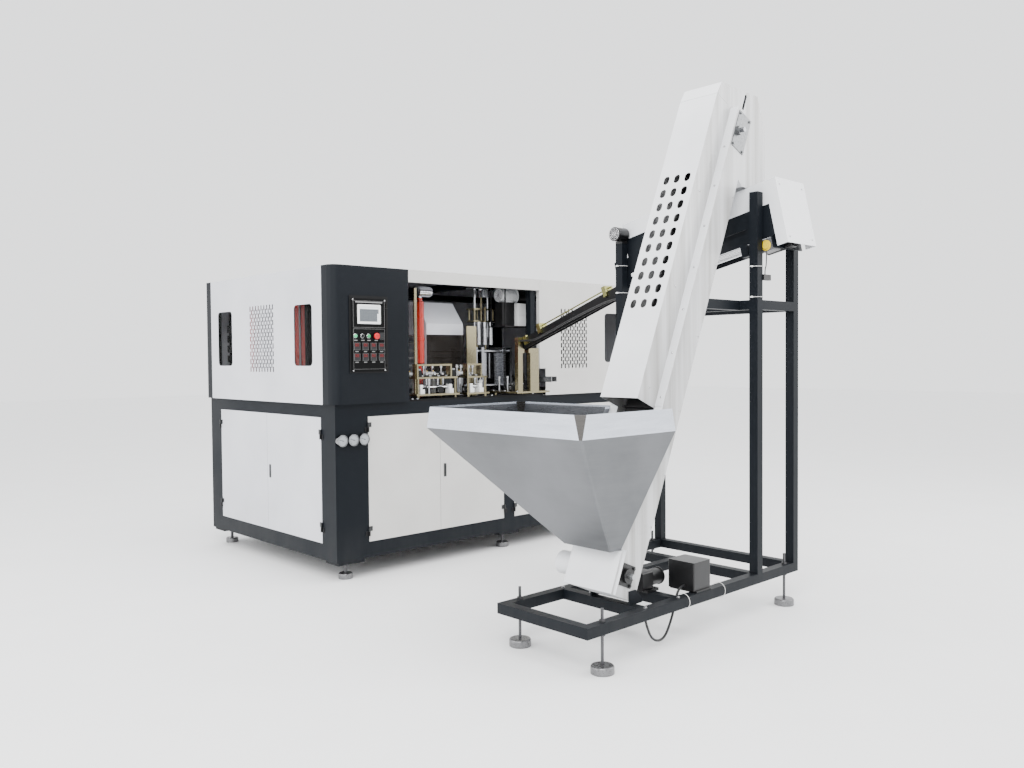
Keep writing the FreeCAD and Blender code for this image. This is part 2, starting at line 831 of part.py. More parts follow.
def button_bezels():
    """Four bezels and, in the first, the fixed lens of the pilot lamp."""
    rings = [bezel(x) for x in (lamp_x, selector_x, start_x, stop_x)]
    front = panel_front - bezel_thickness
    lens = across_panel(device_radius, lamp_x, front - 6, panel_back)
    lens = lens.makeFillet(4, [edge for edge in lens.Edges if edge.BoundBox.YMax < front - 5])
    return group(rings + [lens])


cap_back = frame_front + 2 - button_travel


def start_button():
    front = panel_front - bezel_thickness - 6
    cap = across_panel(device_radius, start_x, front, cap_back)
    return cap.makeFillet(1.5, [edge for edge in cap.Edges if edge.BoundBox.YMax < front + 0.1])


def stop_button():
    bezel_front = panel_front - bezel_thickness
    stem = across_panel(device_radius, stop_x, bezel_front - 8, cap_back)
    head = across_panel(stop_head_radius, stop_x, bezel_front - 18, bezel_front - 7)
    head = head.makeFillet(5, [edge for edge in head.Edges if edge.BoundBox.YMax < bezel_front - 17])
    return joined([stem, head])


def selector_knob():
    bezel_front = panel_front - bezel_thickness
    disc = across_panel(device_radius, selector_x, bezel_front - 3, panel_back)
    grip = rounded(selector_x - 3, selector_x + 3, bezel_front - 13, bezel_front - 2,
                   control_row - 10, control_row + 10, 2, 1)
    return joined([disc, grip])


def pressure_gauges():
    gauges = []
    for x in gauge_places:
        front = base_inset - gauge_depth - 2
        case = rod(gauge_radius, (x, front, gauge_level), (x, base_inset - 2, gauge_level))
        case = case.makeFillet(2, [edge for edge in case.Edges if edge.BoundBox.YMax < front + 0.1])
        stem = rod(14, (x, base_inset - 3, gauge_level), (x, base_inset, gauge_level))
        recess = rod(gauge_radius - 4, (x, front - 1, gauge_level), (x, front + gauge_recess, gauge_level))
        gauges.append(joined([case, stem]).cut(recess))
    return group(gauges)


# ------------------------------------------------------------------ clamp and stretch unit

platen_length = mould_length + 2 * platen_margin
platen_low = mould_bottom - platen_margin
platen_high = mould_bottom + mould_height + platen_margin
tie_y = platen_length / 2 - tie_inset - tie_radius
tie_levels = (platen_low + tie_inset + tie_radius, platen_high - tie_inset - tie_radius)
tie_places = [(clamp_y + side * tie_y, level) for side in (-1, 1) for level in tie_levels]
platen_face = mould_gap / 2 + mould_thickness       # from the clamp's middle
platen_outer = platen_face + platen_thickness
end_plate_face = platen_outer + end_plate_room
cavity_places = [clamp_y + side * cavity_pitch / 2 for side in (-1, 1)]
piston_level = mould_bottom + mould_height / 2


def between(side, near, far, y0, y1, z0, z1):
    """A block on one side of the clamp's middle, from near to far of it."""
    ends = sorted((clamp_x + side * near, clamp_x + side * far))
    return block(ends[0], ends[1], y0, y1, z0, z1)


def platen(side):
    """One moving half of the clamp: piston rod, platen and mould half with two upright cavities."""
    half = platen_length / 2
    mould = between(side, mould_gap / 2, platen_face, clamp_y - mould_length / 2,
                    clamp_y + mould_length / 2, mould_bottom, mould_bottom + mould_height)
    face = clamp_x + side * mould_gap / 2
    cavity_low = mould_bottom + platen_margin
    mould = without(mould, [rod(cavity_radius, (face, y, cavity_low), (face, y, machine_height))
                            for y in cavity_places])
    plate = between(side, platen_face, platen_outer, clamp_y - half, clamp_y + half, platen_low, platen_high)
    bores = [rod(tie_radius + slide_play, (clamp_x - machine_depth, y, z), (clamp_x + machine_depth, y, z))
             for y, z in tie_places]
    tail = clamp_x + side * (end_plate_face + end_plate_thickness + piston_tail)
    piston = rod(piston_radius, (clamp_x + side * (platen_outer - 1), clamp_y, piston_level),
                 (tail, clamp_y, piston_level))
    return joined([mould, without(plate, bores), piston])


def clamp_bed():
    """Tie bars between two end plates that stand on the deck, each with a guide for a piston rod."""
    parts = []
    half = platen_length / 2
    outer = end_plate_face + end_plate_thickness
    y0, y1 = clamp_y - half, clamp_y + half
    for side in (-1, 1):
        parts.append(between(side, end_plate_face, outer, y0, y1, deck_top, platen_high))
        parts.append(rod(piston_radius * 2.2, (clamp_x + side * (end_plate_face - 14), clamp_y, piston_level),
                         (clamp_x + side * outer, clamp_y, piston_level)))
    reach = outer + tie_radius
    parts += [rod(tie_radius, (clamp_x - reach, y, z), (clamp_x + reach, y, z)) for y, z in tie_places]
    bores = [rod(piston_radius + slide_play, (clamp_x + side * platen_outer, clamp_y, piston_level),
                 (clamp_x + side * (outer + 1), clamp_y, piston_level)) for side in (-1, 1)]
    return without(joined(parts), bores)


guide_places = [clamp_x + side * guide_pitch / 2 for side in (-1, 1)]


def stretch_gantry():
    """Guide rods and the air cylinder that hang from the cross beam, with a stop plate below."""
    head = block(clamp_x - carriage_length / 2, clamp_x + carriage_length / 2, clamp_y - carriage_depth / 2,
                 clamp_y + carriage_depth / 2, beam_bottom - 14, beam_bottom)
    parts = [head]
    foot = carriage_low - 110
    for x in guide_places:
        parts.append(rod(guide_radius, (x, clamp_y, foot), (x, clamp_y, beam_bottom - 5)))
    parts.append(rod(stretch_cylinder_radius, (clamp_x, clamp_y, carriage_high + 95),
                     (clamp_x, clamp_y, beam_bottom - 5)))
    parts.append(block(clamp_x - 22, clamp_x + 22, clamp_y - 60, clamp_y - stretch_cylinder_radius + 6,
                       carriage_high + 95, beam_bottom - 20))
    bore = rod(carriage_rod_radius + slide_play, (clamp_x, clamp_y, carriage_high + 90),
               (clamp_x, clamp_y, carriage_high + 105 + carriage_travel))
    return joined(parts).cut(bore)


def stretch_carriage():
    """Two plates joined by spacers, sliding on the guide rods, with the rods that stretch the preforms."""
    half_x, half_y = carriage_length / 2, carriage_depth / 2
    parts = [rounded(clamp_x - half_x, clamp_x + half_x, clamp_y - half_y, clamp_y + half_y,
                     level, level + carriage_plate, 8, 2) for level in (carriage_low, carriage_high)]
    for x in (clamp_x - half_x + 18, clamp_x + half_x - 18):
        for y in (clamp_y - half_y + 14, clamp_y + half_y - 14):
            parts.append(rod(7, (x, y, carriage_low + 2), (x, y, carriage_high + 2)))
    for y in cavity_places:
        parts.append(rod(stretch_rod_radius, (clamp_x, y, stretch_rod_tip), (clamp_x, y, carriage_high + 22)))
    parts.append(rod(carriage_rod_radius, (clamp_x, clamp_y, carriage_low + 2),
                     (clamp_x, clamp_y, carriage_high + 104)))
    bores = [rod(guide_radius + slide_play, (x, clamp_y, carriage_low - 1), (x, clamp_y, carriage_high + 20))
             for x in guide_places]
    return without(joined(parts), bores)


# ------------------------------------------------------------------ heater, uprights, blower

def heater_hood():
    """A white hood with a sloping front, on four legs, with its lamp bar carrier at the back."""
    x0, x1, y0, y1 = heater
    low, high = heater_hood_bottom, heater_top
    knee = low + (high - low) / 3
    outline = [(x0, y0, low), (x0, y0, knee), (x0, y0 + heater_slope, high), (x0, y1, high), (x0, y1, low)]
    inner = [(x0 + sheet, y0 + sheet, low - 1), (x0 + sheet, y0 + sheet, knee),
             (x0 + sheet, y0 + heater_slope + sheet, high - sheet), (x0 + sheet, y1 - sheet, high - sheet),
             (x0 + sheet, y1 - sheet, low - 1)]
    hood = prism(outline, (x1 - x0, 0, 0)).cut(prism(inner, (x1 - x0 - 2 * sheet, 0, 0)))
    legs = []
    for x in (x0 + sheet, x1 - sheet - heater_leg):
        for y in (y0 + sheet, y1 - sheet - heater_leg):
            legs.append(block(x, x + heater_leg, y, y + heater_leg, deck_top, low + 20))
    return joined([hood] + legs)


def heater_shield():
    """A smoked sheet in front of the lamps and a rack of lamp bars behind it."""
    x0, x1, y0, y1 = heater
    pane = block(x0, x1, y0 - pane_thickness, y0, shield_bottom, heater_hood_bottom - touch)
    step = (x1 - x0 - 2 * (heater_leg + sheet)) / 6
    inset = sheet + heater_leg + touch
    bars = []
    for row in range(4):
        low = shield_bottom + row * step
        bars.append(block(x0 + inset, x1 - inset, y0 + sheet, y0 + sheet + 14, low, low + 8))
    return group([pane] + bars)


def red_uprights():
    """Red uprights that stand on the deck and carry air cylinders, and the round red air pipe."""
    shapes = [rounded(x, x + upright_width, y, y + upright_depth, deck_top, upright_top, 6, 2)
              for x, y in upright_places]
    shapes.append(rod(red_tube_radius, (*red_tube, deck_top), (*red_tube, red_tube_top)))
    return group(shapes)


def air_cylinder(x, y):
    """A cylinder with a domed head beside the upright at (x, y), with its rod pointing down."""
    side = x + upright_width
    centre, middle = side + cylinder_radius, y + upright_depth / 2
    top = upright_top + 20
    barrel = rod(cylinder_radius, (centre, middle, top - cylinder_length), (centre, middle, top))
    dome = Part.makeSphere(cylinder_radius, V(centre, middle, top))
    low = top - cylinder_rod_reach
    stem = rod(cylinder_rod_radius, (centre, middle, low), (centre, middle, top - cylinder_length + 2))
    collar = rod(cylinder_rod_radius + 8, (centre, middle, low + 20), (centre, middle, low + 100))
    seats = [block(side, centre, middle - 9, middle + 9, level, level + 34) for level in (top - 90, low + 40)]
    return joined([barrel, dome, stem, collar] + seats)


def regulator():
    """The chromed regulator on the red pipe, and the collar round the pipe below it."""
    x, y = red_tube
    level = red_tube_top + regulator_radius + 9
    end = x - red_tube_radius + regulator_length
    neck = rod(14, (x, y, red_tube_top), (x, y, level))
    body = rod(regulator_radius, (x - red_tube_radius, y, level), (end, y, level))
    dome = Part.makeSphere(regulator_radius, V(end, y, level))
    collar = rod(red_tube_radius + 8, (x, y, red_tube_top - 350), (x, y, red_tube_top - 250))
    collar = collar.cut(rod(red_tube_radius, (x, y, deck_top), (x, y, red_tube_top)))
    return [joined([neck, body, dome]), collar]


def blower_shelf():
    """The shelf that hangs from the roof, with the black duct that goes up to the blower."""
    x0, x1, y0, y1 = shelf
    top = shelf_bottom + shelf_thickness
    plate = block(x0, x1, y0, y1, shelf_bottom, top)
    hangers = [rod(6, (x, y, top - 2), (x, y, inner_top))
               for x in (x0 + 12, x1 - 12) for y in (y0 + 12, y1 - 12)]
    half = duct_width / 2
    duct = block(blower_x, filter_box_start - 6, blower_y - half, blower_y + half,
                 top - 1, blower_axis - blower_radius - 4)
    return joined([plate, duct] + hangers)


def blower():
    """A ribbed motor on a foot, its round fan housing, and two filter boxes under the housing."""
    y0, y1 = shelf[2], shelf[3]
    top = shelf_bottom + shelf_thickness
    end = blower_x + blower_length
    middle = (top + blower_axis - fan_housing_radius) / 2
    lower = block(filter_box_start, filter_box_end, y0 + 22, y1 - 24, top, middle - 2)
    core = block(filter_box_start + 6, filter_box_end - 6, y0 + 28, y1 - 30, middle - 3, middle + 3)
    upper = block(filter_box_start, filter_box_end, y0 + 22, y1 - 24, middle + 2,
                  blower_axis - fan_housing_radius + 6)
    foot = block(blower_x + 30, blower_x + 110, blower_y - 36, blower_y + 36,
                 blower_axis - blower_radius - 4, blower_axis - blower_radius + 12)
    motor = rod(blower_radius, (blower_x, blower_y, blower_axis), (end, blower_y, blower_axis))
    ribs = [rod(blower_radius + 3, (x, blower_y, blower_axis), (x + 6, blower_y, blower_axis))
            for x in [blower_x + 16 + i * 22 for i in range(6)]]
    housing = rod(fan_housing_radius, (end - 1, blower_y, blower_axis),
                  (end + fan_housing_length, blower_y, blower_axis))
    return joined([lower, core, upper, foot, motor, housing] + ribs)


def fan_motors():
    """The heater's blower, and the sorter's fan motor on its post."""
    middle = feeder_far - tube / 2
    saddle_top = far_post_top + post_fan_saddle
    saddle = block(post_left, post_left + tube, feeder_far - tube, feeder_far, far_post_top, saddle_top)
    level = saddle_top + post_fan_radius - 2
    fan = rod(post_fan_radius, (post_left - post_fan_overhang, middle, level),
              (post_left + tube, middle, level))
    return group([blower(), joined([saddle, fan])])


# ------------------------------------------------------------------ transfer tables and infeed

post_places = [chute_x + shift for shift in infeed_posts_from_chute]


def infeed_posts():
    """Posts either side of the chute's low end, each a channel folded from plate."""
    low = deck_top + table_spacer + table_plate
    y0 = infeed_plate[2] + 6
    y1 = y0 + infeed_post_depth
    shapes = [tray(x, x + width, y0, y1, low, low + height, "+y", 4)
              for x, width, height in zip(post_places, infeed_post_widths, infeed_post_heights)]
    outer = chute_gap / 2 + chute_rail_thickness
    level = low + infeed_post_heights[1] - 34
    shapes.append(block(post_places[0] + infeed_post_widths[0], chute_x - outer, y0, y1, level, level + 30))
    shapes.append(block(chute_x + outer, post_places[1], y0, y1, level, level + 30))
    return shapes


def table_posts(area):
    x0, x1, y0, y1 = area
    return [(x, y) for x in (x0 + 24, x1 - 24) for y in (y0 + 20, y1 - 20)]


def table(area):
    """A zinc plated base plate, an upper plate on four columns, and a small plate above that."""
    x0, x1, y0, y1 = area
    low = deck_top + table_spacer
    high = low + table_plate + table_upper_gap
    top = high + table_top_rise
    parts = [block(x0, x1, y0, y1, low, low + table_plate),
             block(x0 + 10, x1 - 10, y0 + 10, y1 - 10, high, high + table_plate)]
    for x, y in table_posts(area):
        parts.append(rod(9, (x, y, deck_top), (x, y, high + 2)))
    parts.append(block(x0 + 10, x1 - 60, y0 + 10, y0 + 60, top, top + table_plate))
    for start in (x0 + 10, x1 - 72):
        parts.append(block(start, start + table_plate, y0 + 10, y0 + 60, high + 2, top + 2))
    return joined(parts)


def transfer_tables():
    """Two tables, the infeed plate with its posts, and a tall side sheet beside the clamp."""
    x0, x1, y0, y1 = infeed_plate
    low = deck_top + table_spacer
    plate = block(x0, x1, y0, y1, low, low + table_plate)
    spacers = [rod(9, (x, y1 - 30, deck_top), (x, y1 - 30, low + 1)) for x in (x0 + 30, x1 - 30)]
    mast = block(*table_mast, low + 1, table_mast_top)
    return group([joined([table(left_table), mast]), table(right_table),
                  joined([plate] + spacers + infeed_posts()), block(*side_sheet, deck_top, side_sheet_top)])


def bearing_block(x, y, z):
    width, depth, height = block_size
    foot = block(x - width / 2, x + width / 2, y - depth / 2, y + depth / 2, z, z + height * 0.5)
    neck = rounded(x - width / 3, x + width / 3, y - depth / 3, y + depth / 3, z + height * 0.5 - 1,
                   z + height, 6, 1)
    return foot, neck


def bearing_blocks():
    shapes = []
    for area in (left_table, right_table):
        x0, x1, y0, y1 = area
        z = deck_top + table_spacer + table_plate
        bore_level = z + block_size[2] * 0.72
        for x in (x0 + 60, x1 - 60):
            foot, neck = bearing_block(x, y0 + 45, z)
            body = joined([foot, neck])
            shapes.append(body.cut(rod(shaft_radius + touch, (x - 99, y0 + 45, bore_level),
                                       (x + 99, y0 + 45, bore_level))))
    return group(shapes)


def transfer_shaft(area):
    x0, x1, y0, y1 = area
    level = deck_top + table_spacer + table_plate + block_size[2] * 0.72
    parts = [rod(shaft_radius, (x0 + 36, y0 + 45, level), (x1 - 36, y0 + 45, level))]
    for x in (x0 + 36, x1 - 41):
        parts.append(rod(shaft_radius + 5, (x, y0 + 45, level), (x + 5, y0 + 45, level)))
    return joined(parts)


def gripper_pins(area):
    x0, x1, y0, y1 = area
    low = deck_top + table_spacer + 2 * table_plate + table_upper_gap
    pins = []
    for i in range(5):
        x = x0 + 30 + i * (x1 - x0 - 60) / 4
        y = y1 - 30
        pins.append(joined([rod(6, (x, y, low), (x, y, low + 60)),
                            rod(12, (x, y, low + 58), (x, y, low + 80))]))
    return pins


def chrome_shafts():
    """Held shafts and gripper pins on the tables, air cylinders, and guide rods behind the windows."""
    shapes = []
    for area in (left_table, right_table):
        shapes.append(transfer_shaft(area))
        shapes += gripper_pins(area)
    shapes += [air_cylinder(x, y) for x, y in upright_places] + regulator()
    for y in left_windows:
        for shift in (0.2, 0.8):
            place = y + shift * window[0]
            shapes.append(rod(12, (120, place, deck_top), (120, place, inner_top)))
    return group(shapes)


def outlet_channel():
    """A white channel that brings the bottles out through the notch, on a leg from the deck."""
    x0, x1 = opening_end + 2, opening_end + notch[0] - 2
    low = belt_line + outlet_floor
    high = low + outlet_wall
    channel = block(x0, x1, -outlet_reach, 300, low, high)
    channel = channel.cut(block(x0 + 3, x1 - 3, -outlet_reach - 1, 301, low + 3, high + 1))
    leg = block(x0 + 10, x1 - 10, 150, 200, deck_top, low + 1)
    return joined([channel, leg])


# ------------------------------------------------------------------ feeder frame

def placed(shape, corner, axis, angle):
    moved = shape.copy()
    place = FreeCAD.Placement(V(*corner), FreeCAD.Rotation(V(*axis), angle))
    moved.Placement = place.multiply(moved.Placement)
    return moved


def elevated(shape):
    """From the elevator's own frame (X up the belt, Z out of the trough) to its place."""
    return placed(shape, (elevator_foot, 0, feeder_rail_top), (0, -1, 0), elevator_tilt)


def feeder_bars(grow):
    """Square tubes of the feeder: two floor rectangles, four posts and a belt of middle rails."""
    size = tube - 2 * grow
    near, far, step = feeder_near + grow, feeder_far - tube + grow, feeder_step - tube + grow
    left, right = feeder_left + grow, feeder_right - tube + grow
    low = rail_bottom + grow
    p_left = post_left + grow
    bars = [block(left, right + size, near, near + size, low, low + size),
            block(left, p_left + size, step, step + size, low, low + size),
            block(p_left, right + size, far, far + size, low, low + size),
            block(left, left + size, near, step + size, low, low + size)]
    for x in (p_left, right):
        bars.append(block(x, x + size, near, far + size, low, low + size))
    for x in cross_rails:
        bars.append(block(x + grow, x + grow + size, near, step + size, low, low + size))
    for x, y, top in ((p_left, near, post_top), (right, near, post_top),
                      (p_left, far, far_post_top), (right, far, far_post_top)):
        bars.append(block(x, x + size, y, y + size, low, top - 2 * grow))
    middle = mid_rail + grow
    for y in (near, far):
        bars.append(block(p_left, right + size, y, y + size, middle, middle + size))
    for x in (p_left, right):
        bars.append(block(x, x + size, near, far + size, middle, middle + size))
    return bars


def feeder_frame():
    """The welded tube frame, with the strut and the pair of foot brackets that hold the elevator."""
    frame = joined(feeder_bars(0)).cut(joined(feeder_bars(feeder_tube_wall)))
    strut = block(elevator_foot, post_left, elevator_side, elevator_side + tube, mid_rail, mid_rail + tube)
    strut = strut.cut(elevated(block(0, cover_end, elevator_side - 1, elevator_side + tube + 1, trough_back,
                                     2 * cover_end)))
    low, high = feeder_rail_top, feeder_rail_top + bracket_height
    start, end = cross_rails[0], cross_rails[0] + bracket_reach
    brackets = []
    for y in (elevator_side - bracket_thickness, elevator_side + elevator_width):
        outline = [(start, y, low), (end, y, low), (end, y, low + 20),
                   (start + tube, y, high), (start, y, high)]
        brackets.append(prism(outline, (0, bracket_thickness, 0)))
    holes = [rod(feeder_stud_radius + touch, (x, y, rail_bottom - 1), (x, y, feeder_rail_top + 1))
             for x, y in feeder_feet]
    return without(joined([frame, strut] + brackets), holes)


# ------------------------------------------------------------------ elevator

side_y = (elevator_side, elevator_side + elevator_width)


def near_wall_slab(gap):
    """Everything in front of the inside of the hopper's near wall, moved back by gap."""
    low, fold = outlet_y[0] + hopper_sheet + gap, hopper_near + hopper_sheet + gap
    outline = [(hopper_left - 50, low, hopper_outlet), (hopper_left - 50, fold, hopper_fold),
               (hopper_left - 50, fold, hopper_rim + 1), (hopper_left - 50, fold - 200, hopper_rim + 1),
               (hopper_left - 50, fold - 200, hopper_outlet)]
    return prism(outline, (hopper_right - hopper_left + 100, 0, 0))


def elevator_trough():
    """A folded trough with outward lips, open towards the hopper, with holes for both shafts."""
    y0, y1 = side_y
    wall = elevator_sheet
    body = block(0, cover_end, y0, y1, trough_back, lip_level)
    body = body.cut(block(wall, cover_end + 1, y0 + wall, y1 - wall, trough_back + wall, lip_level + 1))
    lips = [block(0, cover_end, y0 - lip, y0 + 1, lip_level - wall, lip_level),
            block(0, cover_end, y1 - 1, y1 + lip, lip_level - wall, lip_level)]
    shafts = [rod(drum_shaft_radius + 3, (s, y0 - 1, shaft_level), (s, y1 + 1, shaft_level))
              for s in (tail_shaft, head_shaft)]
    return elevated(without(joined([body] + lips), shafts)).cut(near_wall_slab(touch))


def obround(s, y):
    half = hole_length / 2 - hole_radius
    low, high = cover_level - elevator_sheet - 1, cover_level + 1
    ends = [rod(hole_radius, (s + shift, y, low), (s + shift, y, high)) for shift in (-half, half)]
    bar = block(s - half, s + half, y - hole_radius, y + hole_radius, low, high)
    return joined(ends + [bar])


def elevator_cover():
    """The long cover with flanges on the trough's lips and rows of slots, and the small foot cover."""
    y0, y1 = side_y
    wall = elevator_sheet
    body = block(cover_start, cover_end, y0, y1, lip_level, cover_level)
    body = body.cut(block(cover_start - 1, cover_end + 1, y0 + wall, y1 - wall, lip_level - 1,
                          cover_level - wall))
    flanges = [block(cover_start + 12, cover_end, y0 - lip, y0 + 1, lip_level, lip_level + wall),
               block(cover_start + 12, cover_end, y1 - 1, y1 + lip, lip_level, lip_level + wall)]
    middle = (y0 + y1) / 2
    slots = [obround(first_hole + row * hole_pitch_along,
                     middle + (column - (hole_columns - 1) / 2) * hole_pitch_across)
             for row in range(hole_rows) for column in range(hole_columns)]
    foot = tray(0, foot_cover_height, y0 - 30, y1 + 30, lip_level, lip_level + 12, "-z", wall)
    return elevated(group([without(joined([body] + flanges), slots), foot]))


def world_to_belt(x, z):
    """A point in the XZ plane, in the elevator's own frame."""
    angle = math.radians(elevator_tilt)
    dx, dz = x - elevator_foot, z - feeder_rail_top
    return dx * math.cos(angle) + dz * math.sin(angle), -dx * math.sin(angle) + dz * math.cos(angle)


def head_hood():
    """The head hood: over the head drum, and open below where the preforms drop to the sorter."""
    y0, y1 = side_y
    wall = elevator_sheet
    start = cover_end + seam
    back = trough_back - touch
    outline = [(start, back), (start, cover_level), (start + 73, cover_level - 12),
               world_to_belt(*hood_crown), world_to_belt(*hood_brow), world_to_belt(hood_right, hood_chin),
               world_to_belt(hood_right, hood_bottom), world_to_belt(hood_left, hood_bottom),
               (head_shaft - 230, back)]
    corners = [V(s, y0, level) for s, level in outline]
    face = Part.Face(Part.makePolygon(corners + corners[:1]))
    inner = face.makeOffset2D(-wall).extrude(V(0, y1 - y0 - 2 * wall, 0))
    inner.translate(V(0, wall, 0))
    shell = face.extrude(V(0, y1 - y0, 0)).cut(inner)
    mouth = block(start - 1, start + wall + 1, y0 + wall, y1 - wall, back + wall, cover_level - wall)
    ends = [head_shaft + reach for reach in take_up_slot]
    slot = joined([rod(10, (s, y0 - 1, shaft_level), (s, y0 + wall + 1, shaft_level)) for s in ends]
                  + [block(*ends, y0 - 1, y0 + wall + 1, shaft_level - 10, shaft_level + 10)])
    shell = elevated(without(shell, [mouth, slot]))
    return shell.cut(block(hood_left + wall, hood_right - wall, y0 + wall, y1 - wall,
                           hood_bottom - 1, hood_bottom + wall + 1))


def bearing_plate(face, way, s, plate, hub_radius):
    """A plate on the side wall at y = face, with a bored hub and four bolt heads standing out along way."""
    low, high, bottom, top = s + plate[0], s + plate[1], shaft_level + plate[2], shaft_level + plate[3]
    ends = sorted((face, face + way * 4))
    parts = [block(low, high, ends[0], ends[1], bottom, top),
             rod(hub_radius, (s, face, shaft_level), (s, face + way * 22, shaft_level))]
    for x in (low + 12, high - 12):
        for z in (bottom + 12, top - 12):
            parts.append(rod(7, (x, face, z), (x, face + way * 11, z)))
    bore = rod(drum_shaft_radius + pin_play, (s, face - 30, shaft_level), (s, face + 30, shaft_level))
    return joined(parts).cut(bore)


def bearing_plates():
    """Plates on the trough's sides with the bearings of both shafts."""
    shapes = []
    for face, way in zip(side_y, (-1, 1)):
        shapes.append(bearing_plate(face, way, tail_shaft, tail_plate, hub_radii[0]))
        shapes.append(bearing_plate(face, way, head_shaft, head_plate, hub_radii[1]))
    return elevated(group(shapes))


def drum(s, reach):
    """A drum on its shaft; reach is how far the shaft stands out on each side."""
    y0, y1 = side_y
    middle = (y0 + y1) / 2
    half = belt_width / 2 + 2
    roll = rod(drum_radius - touch, (s, middle - half, shaft_level), (s, middle + half, shaft_level))
    shaft = rod(drum_shaft_radius, (s, y0 - reach[0], shaft_level), (s, y1 + reach[1], shaft_level))
    parts = [roll, shaft]
    if reach[1] > 100:
        parts.append(rod(tail_cover_radius, (s, y1 + 40, shaft_level), (s, y1 + reach[1], shaft_level)))
    return elevated(joined(parts))


def stadium(radius, y0, y1):
    ends = [rod(radius, (s, y0, shaft_level), (s, y1, shaft_level)) for s in (tail_shaft, head_shaft)]
    return joined(ends + [block(tail_shaft, head_shaft, y0, y1, shaft_level - radius, shaft_level + radius)])


def elevator_belt():
    """The endless belt with its cleats on both runs."""
    middle = sum(side_y) / 2
    y0, y1 = middle - belt_width / 2, middle + belt_width / 2
    outer = drum_radius + belt_thickness
    loop = stadium(outer, y0, y1).cut(stadium(drum_radius, y0 - 1, y1 + 1))
    cleats = []
    for i in range(int((head_shaft - tail_shaft) // cleat_pitch) + 1):
        s = tail_shaft + i * cleat_pitch
        for low in (outer - 1, -outer - cleat_height):
            cleats.append(block(s, s + cleat_thickness, y0, y1, shaft_level + low,
                                shaft_level + low + cleat_height + 1))
    return elevated(joined([loop] + cleats))


def drive_motors():
    """The elevator's gearmotor and control box, and the sorter's gearmotor."""
    x = cross_rails[1]
    low = feeder_rail_top
    middle = sum(side_y) / 2
    gearmotor = joined([block(x - 20, x + tube + 20, middle - 45, middle + 45, low, low + 14),
                        rounded(x - 50, x + 30, middle - 42, middle + 42, low + 12, low + 104, 12, 0),
                        rod(40, (x + 28, middle, low + 58), (x + 118, middle, low + 58)),
                        rod(44, (x + 116, middle, low + 58), (x + 122, middle, low + 58))])
    y = feeder_near + 15
    x0, x1 = drive_box_x
    box = joined([block(x0 + 10, x1 - 10, feeder_near + 5, y + 150, low, low + 8),
                  rounded(x0, x1, y, y + 155, low + 7, low + 147, 6, 2)])
    return group([gearmotor, box, on_sorter(sorter_motor()), on_sorter(sorter_gear()), sensor()])


def sorter_motor():
    """The motor behind the sorter's motor plate, and its gearbox in front of the plate."""
    x, level = sorter_motor_x, sorter_motor_level
    back = motor_plate_at + sorter_plate * 2
    body = rod(sorter_motor_radius, (x, back, level), (x, back + sorter_motor_length, level))
    gearbox = rounded(x - 35, x + 35, motor_plate_at - 40, motor_plate_at, level - 30, level + 34, 8, 1)
    return group([body, gearbox])


def sorter_gear():
    """The speed changer beside the left side plate, with a round flange and a cap on its left."""
    width, length = sorter_gear_size
    back = motor_plate_at + sorter_plate * 2
    x = sorter_x[0] + 8
    low = sorter_low - sorter_gear_low
    middle, level = back + length / 2, low + 30
    body = rounded(x, x + width, back, back + length, low, level + 34, 6, 0)
    flange = rod(28, (x - 8, middle, level), (x + 1, middle, level))
    cap = rod(18, (x - 18, middle, level), (x - 7, middle, level))
    return joined([body, flange, cap])


def sensor():
    x = post_left + tube
    length, depth, height = sensor_size
    y = feeder_near - 8
    return block(x, x + length, y, y + depth, sensor_level, sensor_level + height)


# ------------------------------------------------------------------ hopper

hopper_levels = ((outlet_x, outlet_y, fold_corner / 2, hopper_outlet),
                 ((hopper_left, hopper_right), (hopper_near, hopper_far), fold_corner, hopper_fold),
                 ((hopper_left, hopper_right), (hopper_near, hopper_far), rim_corner, hopper_rim))


def octagon(level, inset):
    """The eight corners of the hopper at one of its levels, moved inwards by inset."""
    (x0, x1), (y0, y1), corner, z = hopper_levels[level]
    x0, x1, y0, y1 = x0 + inset, x1 - inset, y0 + inset, y1 - inset
    return [V(*point, z) for point in ((x0 + corner, y0), (x1 - corner, y0), (x1, y0 + corner),
                                       (x1, y1 - corner), (x1 - corner, y1), (x0 + corner, y1),
                                       (x0, y1 - corner), (x0, y0 + corner))]


def hopper_wall(side):
    """One sheet of the hopper from the outlet to the rim, folded at the rim's foot."""
    halves = []
    for level in (0, 1):
        wires = []
        for outer, inner in ((octagon(n, 0), octagon(n, hopper_sheet)) for n in (level, level + 1)):
            following = (side + 1) % len(outer)
            corners = [outer[side], outer[following], inner[following], inner[side]]
            wires.append(Part.makePolygon(corners + corners[:1]))
        halves.append(Part.makeLoft(wires, True, True))
    return joined(halves)


def hopper_solid():
    wires = [Part.makePolygon(corners + corners[:1]) for corners in (octagon(n, 0) for n in range(3))]
    return joined([Part.makeLoft(wires[:2], True, True), Part.makeLoft(wires[1:], True, True)])


def hopper():
    """Four folded sheets with corner pieces between them, a floor, and a cheek along the trough."""
    wall = hopper_sheet
    y0, y1 = side_y
    passage = elevated(block(0, cover_end, y0 - lip - touch, y1 + lip + touch, -200, lip_level + touch))
    passage = passage.cut(near_wall_slab(0))
    sheets = [hopper_wall(side).cut(passage) for side in range(8)]
    floor = block(outlet_x[0] + wall, outlet_x[1] - wall, outlet_y[0] + wall, outlet_y[1] - wall,
                  hopper_outlet, hopper_outlet + wall)
    floor = without(floor.common(hopper_solid()), [passage] + sheets)
    cheek = elevated(block(foot_cover_height, cover_end, y1 + lip + touch, y1 + lip + touch + wall,
                           -300, lip_level + 30)).common(hopper_solid())
    return group([part for part in sheets + [without(cheek, sheets)] + floor.Solids if part.Solids])


# ------------------------------------------------------------------ sorter

